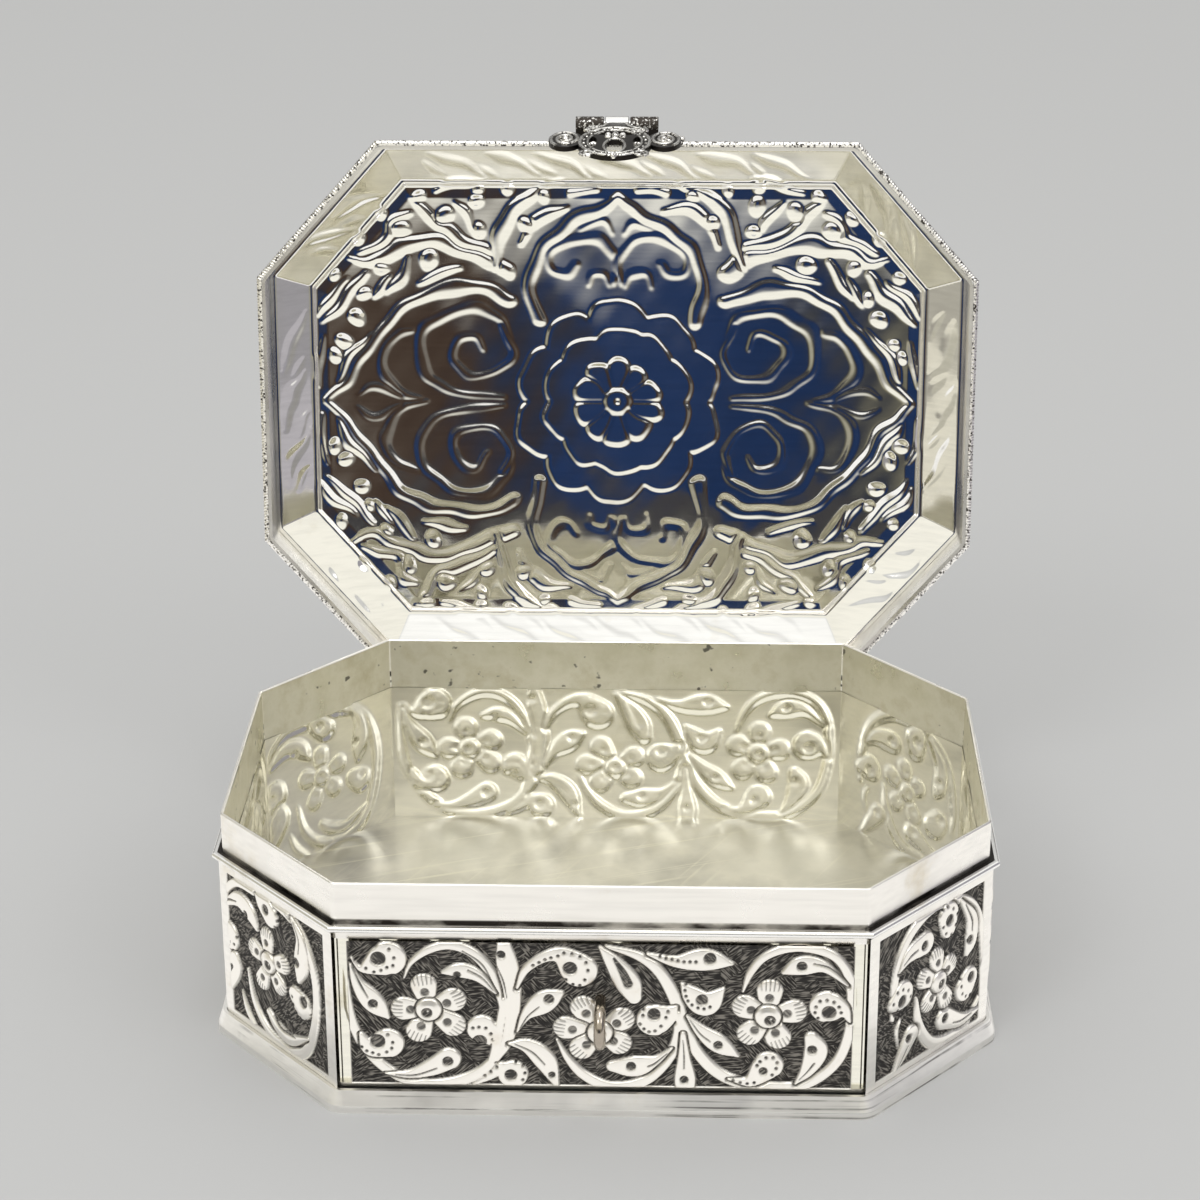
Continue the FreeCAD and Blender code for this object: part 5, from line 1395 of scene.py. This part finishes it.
def milled_wire(name, flat, low, high):
    """A stretch of wire along one side, from one share of its half length to another."""
    middle, run, normal, half = wall_flat(FLATS[flat], WIRE_SEAT)
    growth = wall_flat(FLATS[flat], WIRE_SEAT + 1.0)[3] - half
    sheet, u, v = grid_sheet(name, round((high - low) * half / WIRE_CELL), 8)
    share, angle = low + u * (high - low), (v - 0.5) * math.pi
    turn = 2 * math.pi * (share * half + 0.2 * np.sin(angle)) / NOTCH_PITCH
    notch = 1 - NOTCH_DEPTH * (0.5 + 0.5 * np.sin(turn))
    reach = WIRE_REACH * np.cos(angle) * notch
    places = middle + np.outer(share * (half + growth * reach), run) + np.outer(reach, normal)
    places = places + np.outer(WIRE_LEVEL + WIRE_HALF * np.sin(angle) * notch, UP)
    finish_sheet(sheet, swung(places), worn_metal, "lid")
    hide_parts("lid_edge_wire")


def speckled_metal(name, bright_share):
    """Bright metal with dark oxide in small blotches, laid by noise."""
    made, tree, shader = new_finish(name)
    blotch = noise(tree, 1700.0, 3.0, roughness=0.6)
    edge = 0.5 + (0.5 - bright_share) * 0.4
    tint = ramp(tree, blotch, [(edge - 0.04, (0.06, 0.052, 0.045)), (edge + 0.05, (0.95, 0.93, 0.89))])
    coat(tree, shader, tint, ramp(tree, blotch, [(edge, 0.5), (edge + 0.06, 0.2)]))
    bump(tree, shader, blotch, 0.2, 0.0001)
    return made


worn_metal = speckled_metal("worn_metal", 0.66)
black_metal = speckled_metal("black_metal", 0.30)
gap = NOTCH_HALF / wall_flat(FLATS["back"], WIRE_SEAT)[3]
for flat in FLATS:
    if flat == "back":
        milled_wire("edge_wire_back_one", flat, -1.0, -gap)
        milled_wire("edge_wire_back_two", flat, gap, 1.0)
    else:
        milled_wire(f"edge_wire_{flat}", flat, -1.0, 1.0)
print("edge wire milled")

# %% [markdown]
# ## Openwork of the hasp
# The hasp is blackened, and only the tops of its scrolls are rubbed bright. The solid gives the pierced
# plate and the knuckles. On it go soldered wires: an oval rim, curled side scrolls, a flower above the slot
# and beads at the tips. A poly curve with a round bevel makes each wire, converted to a mesh and joined.

# %% Places on the hasp
HASP_AXIS = np.array([0.0, 76.863, 159.106])
HASP_RUN, HASP_FACE = np.array([0.0, -0.9996, 0.0262]), np.array([0.0, 0.0262, 0.9996])
PLATE_FACE, PLATE_MIDDLE = -58.5, 44.7
PROUD_LEAF, PROUD_PLATE = 0.55, 0.1


def on_leaf(across, along, proud=PROUD_LEAF):
    """A point of the swinging leaf: across it, along it from the knuckles, and proud of its middle."""
    return HASP_AXIS + np.array([across, 0, 0]) + along * HASP_RUN + proud * HASP_FACE


def on_bracket(across, up, proud=0.0):
    """A point of the fixed plate on the lid's front, given on the closed lid."""
    return swung(np.array([[across, PLATE_FACE - proud, PLATE_MIDDLE + up]]))[0]


def wire(points, radius, closed=False):
    """One round wire through points in millimetres, as a mesh."""
    curve = bpy.data.curves.new("wire", "CURVE")
    curve.dimensions = "3D"
    curve.bevel_depth = radius * MM
    curve.bevel_resolution = 2
    curve.use_fill_caps = True
    spline = curve.splines.new("POLY")
    spline.points.add(len(points) - 1)
    spline.points.foreach_set("co", np.column_stack([np.array(points) * MM, np.ones(len(points))]).ravel())
    spline.use_cyclic_u = closed
    made = bpy.data.objects.new("wire", curve)
    bpy.context.collection.objects.link(made)
    bpy.ops.object.select_all(action="DESELECT")
    made.select_set(True)
    bpy.context.view_layer.objects.active = made
    bpy.ops.object.convert(target="MESH")
    return bpy.context.object


def bead(spot, radius):
    """A small ball."""
    bpy.ops.object.select_all(action="DESELECT")
    middle = np.array(spot) * MM
    bpy.ops.mesh.primitive_uv_sphere_add(segments=14, ring_count=9, radius=radius * MM, location=middle)
    bpy.ops.object.transform_apply(location=True, rotation=False, scale=False)
    return bpy.context.object


def solder(name, pieces, metal, body):
    """Joins wires and beads into one finished piece."""
    made = joined(name, pieces)
    made.data.shade_smooth()
    made.data.materials.clear()
    made.data.materials.append(metal)
    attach(made, body)
    print(name, len(made.data.polygons), "faces")


def oval(centre, wide, tall, place, proud, count=40, start=0.0):
    """Points round an oval, from its far end or a share of a step on."""
    turns = [2 * math.pi * (i + start) / count for i in range(count)]
    return [place(centre[0] + wide * math.sin(t), centre[1] + tall * math.cos(t), proud) for t in turns]


CURL_STEPS, CURL_IN = 36, 0.72


def curl(centre, wide, tall, turns, start, side, place, proud):
    """A flat spiral that winds in to less than a third of its size."""
    spots = []
    for share in np.arange(CURL_STEPS) / (CURL_STEPS - 1):
        angle, size = start + side * turns * 2 * math.pi * share, 1 - CURL_IN * share
        across, along = wide * size * math.sin(angle), tall * size * math.cos(angle)
        spots.append(place(centre[0] + across, centre[1] + along, proud))
    return spots


# %% Wires and beads of the leaf
RIM, SLOT, FLOWER = (0, 19.2), (0, 23.1), (0, 14.6)
BRACE = ((2.2, 2.5), (2.6, 5.0), (4.4, 7.0), (6.6, 9.2))
leaf = [
    wire(oval(RIM, 7.2, 12.4, on_leaf, PROUD_LEAF), 0.38, True),
    wire(oval(RIM, 5.6, 10.3, on_leaf, PROUD_LEAF), 0.24, True),
    wire(oval(SLOT, 2.2, 6.2, on_leaf, PROUD_LEAF), 0.3, True),
]
for side in (-1, 1):
    scrolls = [
        (curl((side * 10.2, 17.0), 3.2, 6.7, 1.9, 0.6 * side, side, on_leaf, PROUD_LEAF), 0.36),
        (curl((side * 4.6, 8.2), 1.9, 2.6, 1.4, 2.4, -side, on_leaf, PROUD_LEAF), 0.28),
        (curl((side * 5.4, 29.6), 1.7, 2.4, 1.4, 0.4, side, on_leaf, PROUD_LEAF), 0.3),
        ([on_leaf(side * across, along) for across, along in BRACE], 0.32),
    ]
    leaf += [wire(points, radius) for points, radius in scrolls]
    leaf.append(bead(on_leaf(side * 10.2, 17.0), 0.7))
leaf += [bead(spot, 0.7) for spot in oval(FLOWER, 1.75, 1.75, on_leaf, PROUD_LEAF, 6)]
leaf.append(bead(on_leaf(*FLOWER, 0.8), 0.75))
leaf.append(bead(on_leaf(0, 31.6, 0.6), 0.8))
leaf += [bead(spot, 0.3) for spot in oval(RIM, 6.4, 11.35, on_leaf, 0.5, 24, 0.5)]
solder("hasp_scrollwork", leaf, worn_metal, "hasp")

# %% Wings of the fixed plate and the knuckle sleeves


def sleeve(start, end, radius):
    """A round sleeve on the hasp's axis."""
    bpy.ops.object.select_all(action="DESELECT")
    middle = (HASP_AXIS + [(start + end) / 2, 0, 0]) * MM
    bpy.ops.mesh.primitive_cylinder_add(
        vertices=32, radius=radius * MM, depth=(end - start) * MM,
        location=middle, rotation=(0, math.pi / 2, 0),
    )
    bpy.ops.object.mode_set(mode="EDIT")
    bpy.ops.mesh.select_all(action="SELECT")
    bpy.ops.mesh.bevel(offset=0.22 * MM, segments=2, affect="EDGES", clamp_overlap=True)
    bpy.ops.object.mode_set(mode="OBJECT")
    bpy.ops.object.transform_apply(location=True, rotation=True, scale=False)
    return bpy.context.object


wings = []
for side in (-1, 1):
    ring = (side * 11.0, 0)
    wings.append(wire(oval(ring, 1.9, 1.9, on_bracket, PROUD_PLATE, 24), 0.42, True))
    wings += [bead(spot, 0.72) for spot in oval(ring, 2.75, 2.75, on_bracket, PROUD_PLATE, 8)]
    scroll = curl((side * 6.4, 0.6), 2.0, 2.0, 1.5, 1.5 * side, side, on_bracket, PROUD_PLATE)
    wings.append(wire(scroll, 0.4))
solder("hasp_wings", wings, worn_metal, "lid")
outer_sleeves = [sleeve(-8.75, -2.85, 1.45), sleeve(2.85, 8.75, 1.45)]
solder("bracket_sleeves", outer_sleeves, black_metal, "lid")
solder("leaf_sleeve", [sleeve(-2.45, 2.45, 1.5)], rim_metal, "hasp")

# %% [markdown]
# ## Finish of the plain solids
# The solids whose shape is right stay, and only get their metal.

# %% Metals for the solids


def give(metal, *names):
    """Sets the metal of some of the solids."""
    for name in names:
        solid = nodes[name].data
        solid.materials.clear()
        solid.materials.append(metal)


give(collar_metal, "collar")
give(foot_metal, "foot_band")
give(skirt_metal, "lid_skirt")
give(rim_metal, "wall_rim_bead", "hinge_pin", "hasp_pin", "hinge_body_leaf", "hinge_lid_leaf")
give(staple_metal, "staple")
give(dark_metal, "hasp_bracket", "hasp_leaf")
give(floor_metal, "floor_plate")
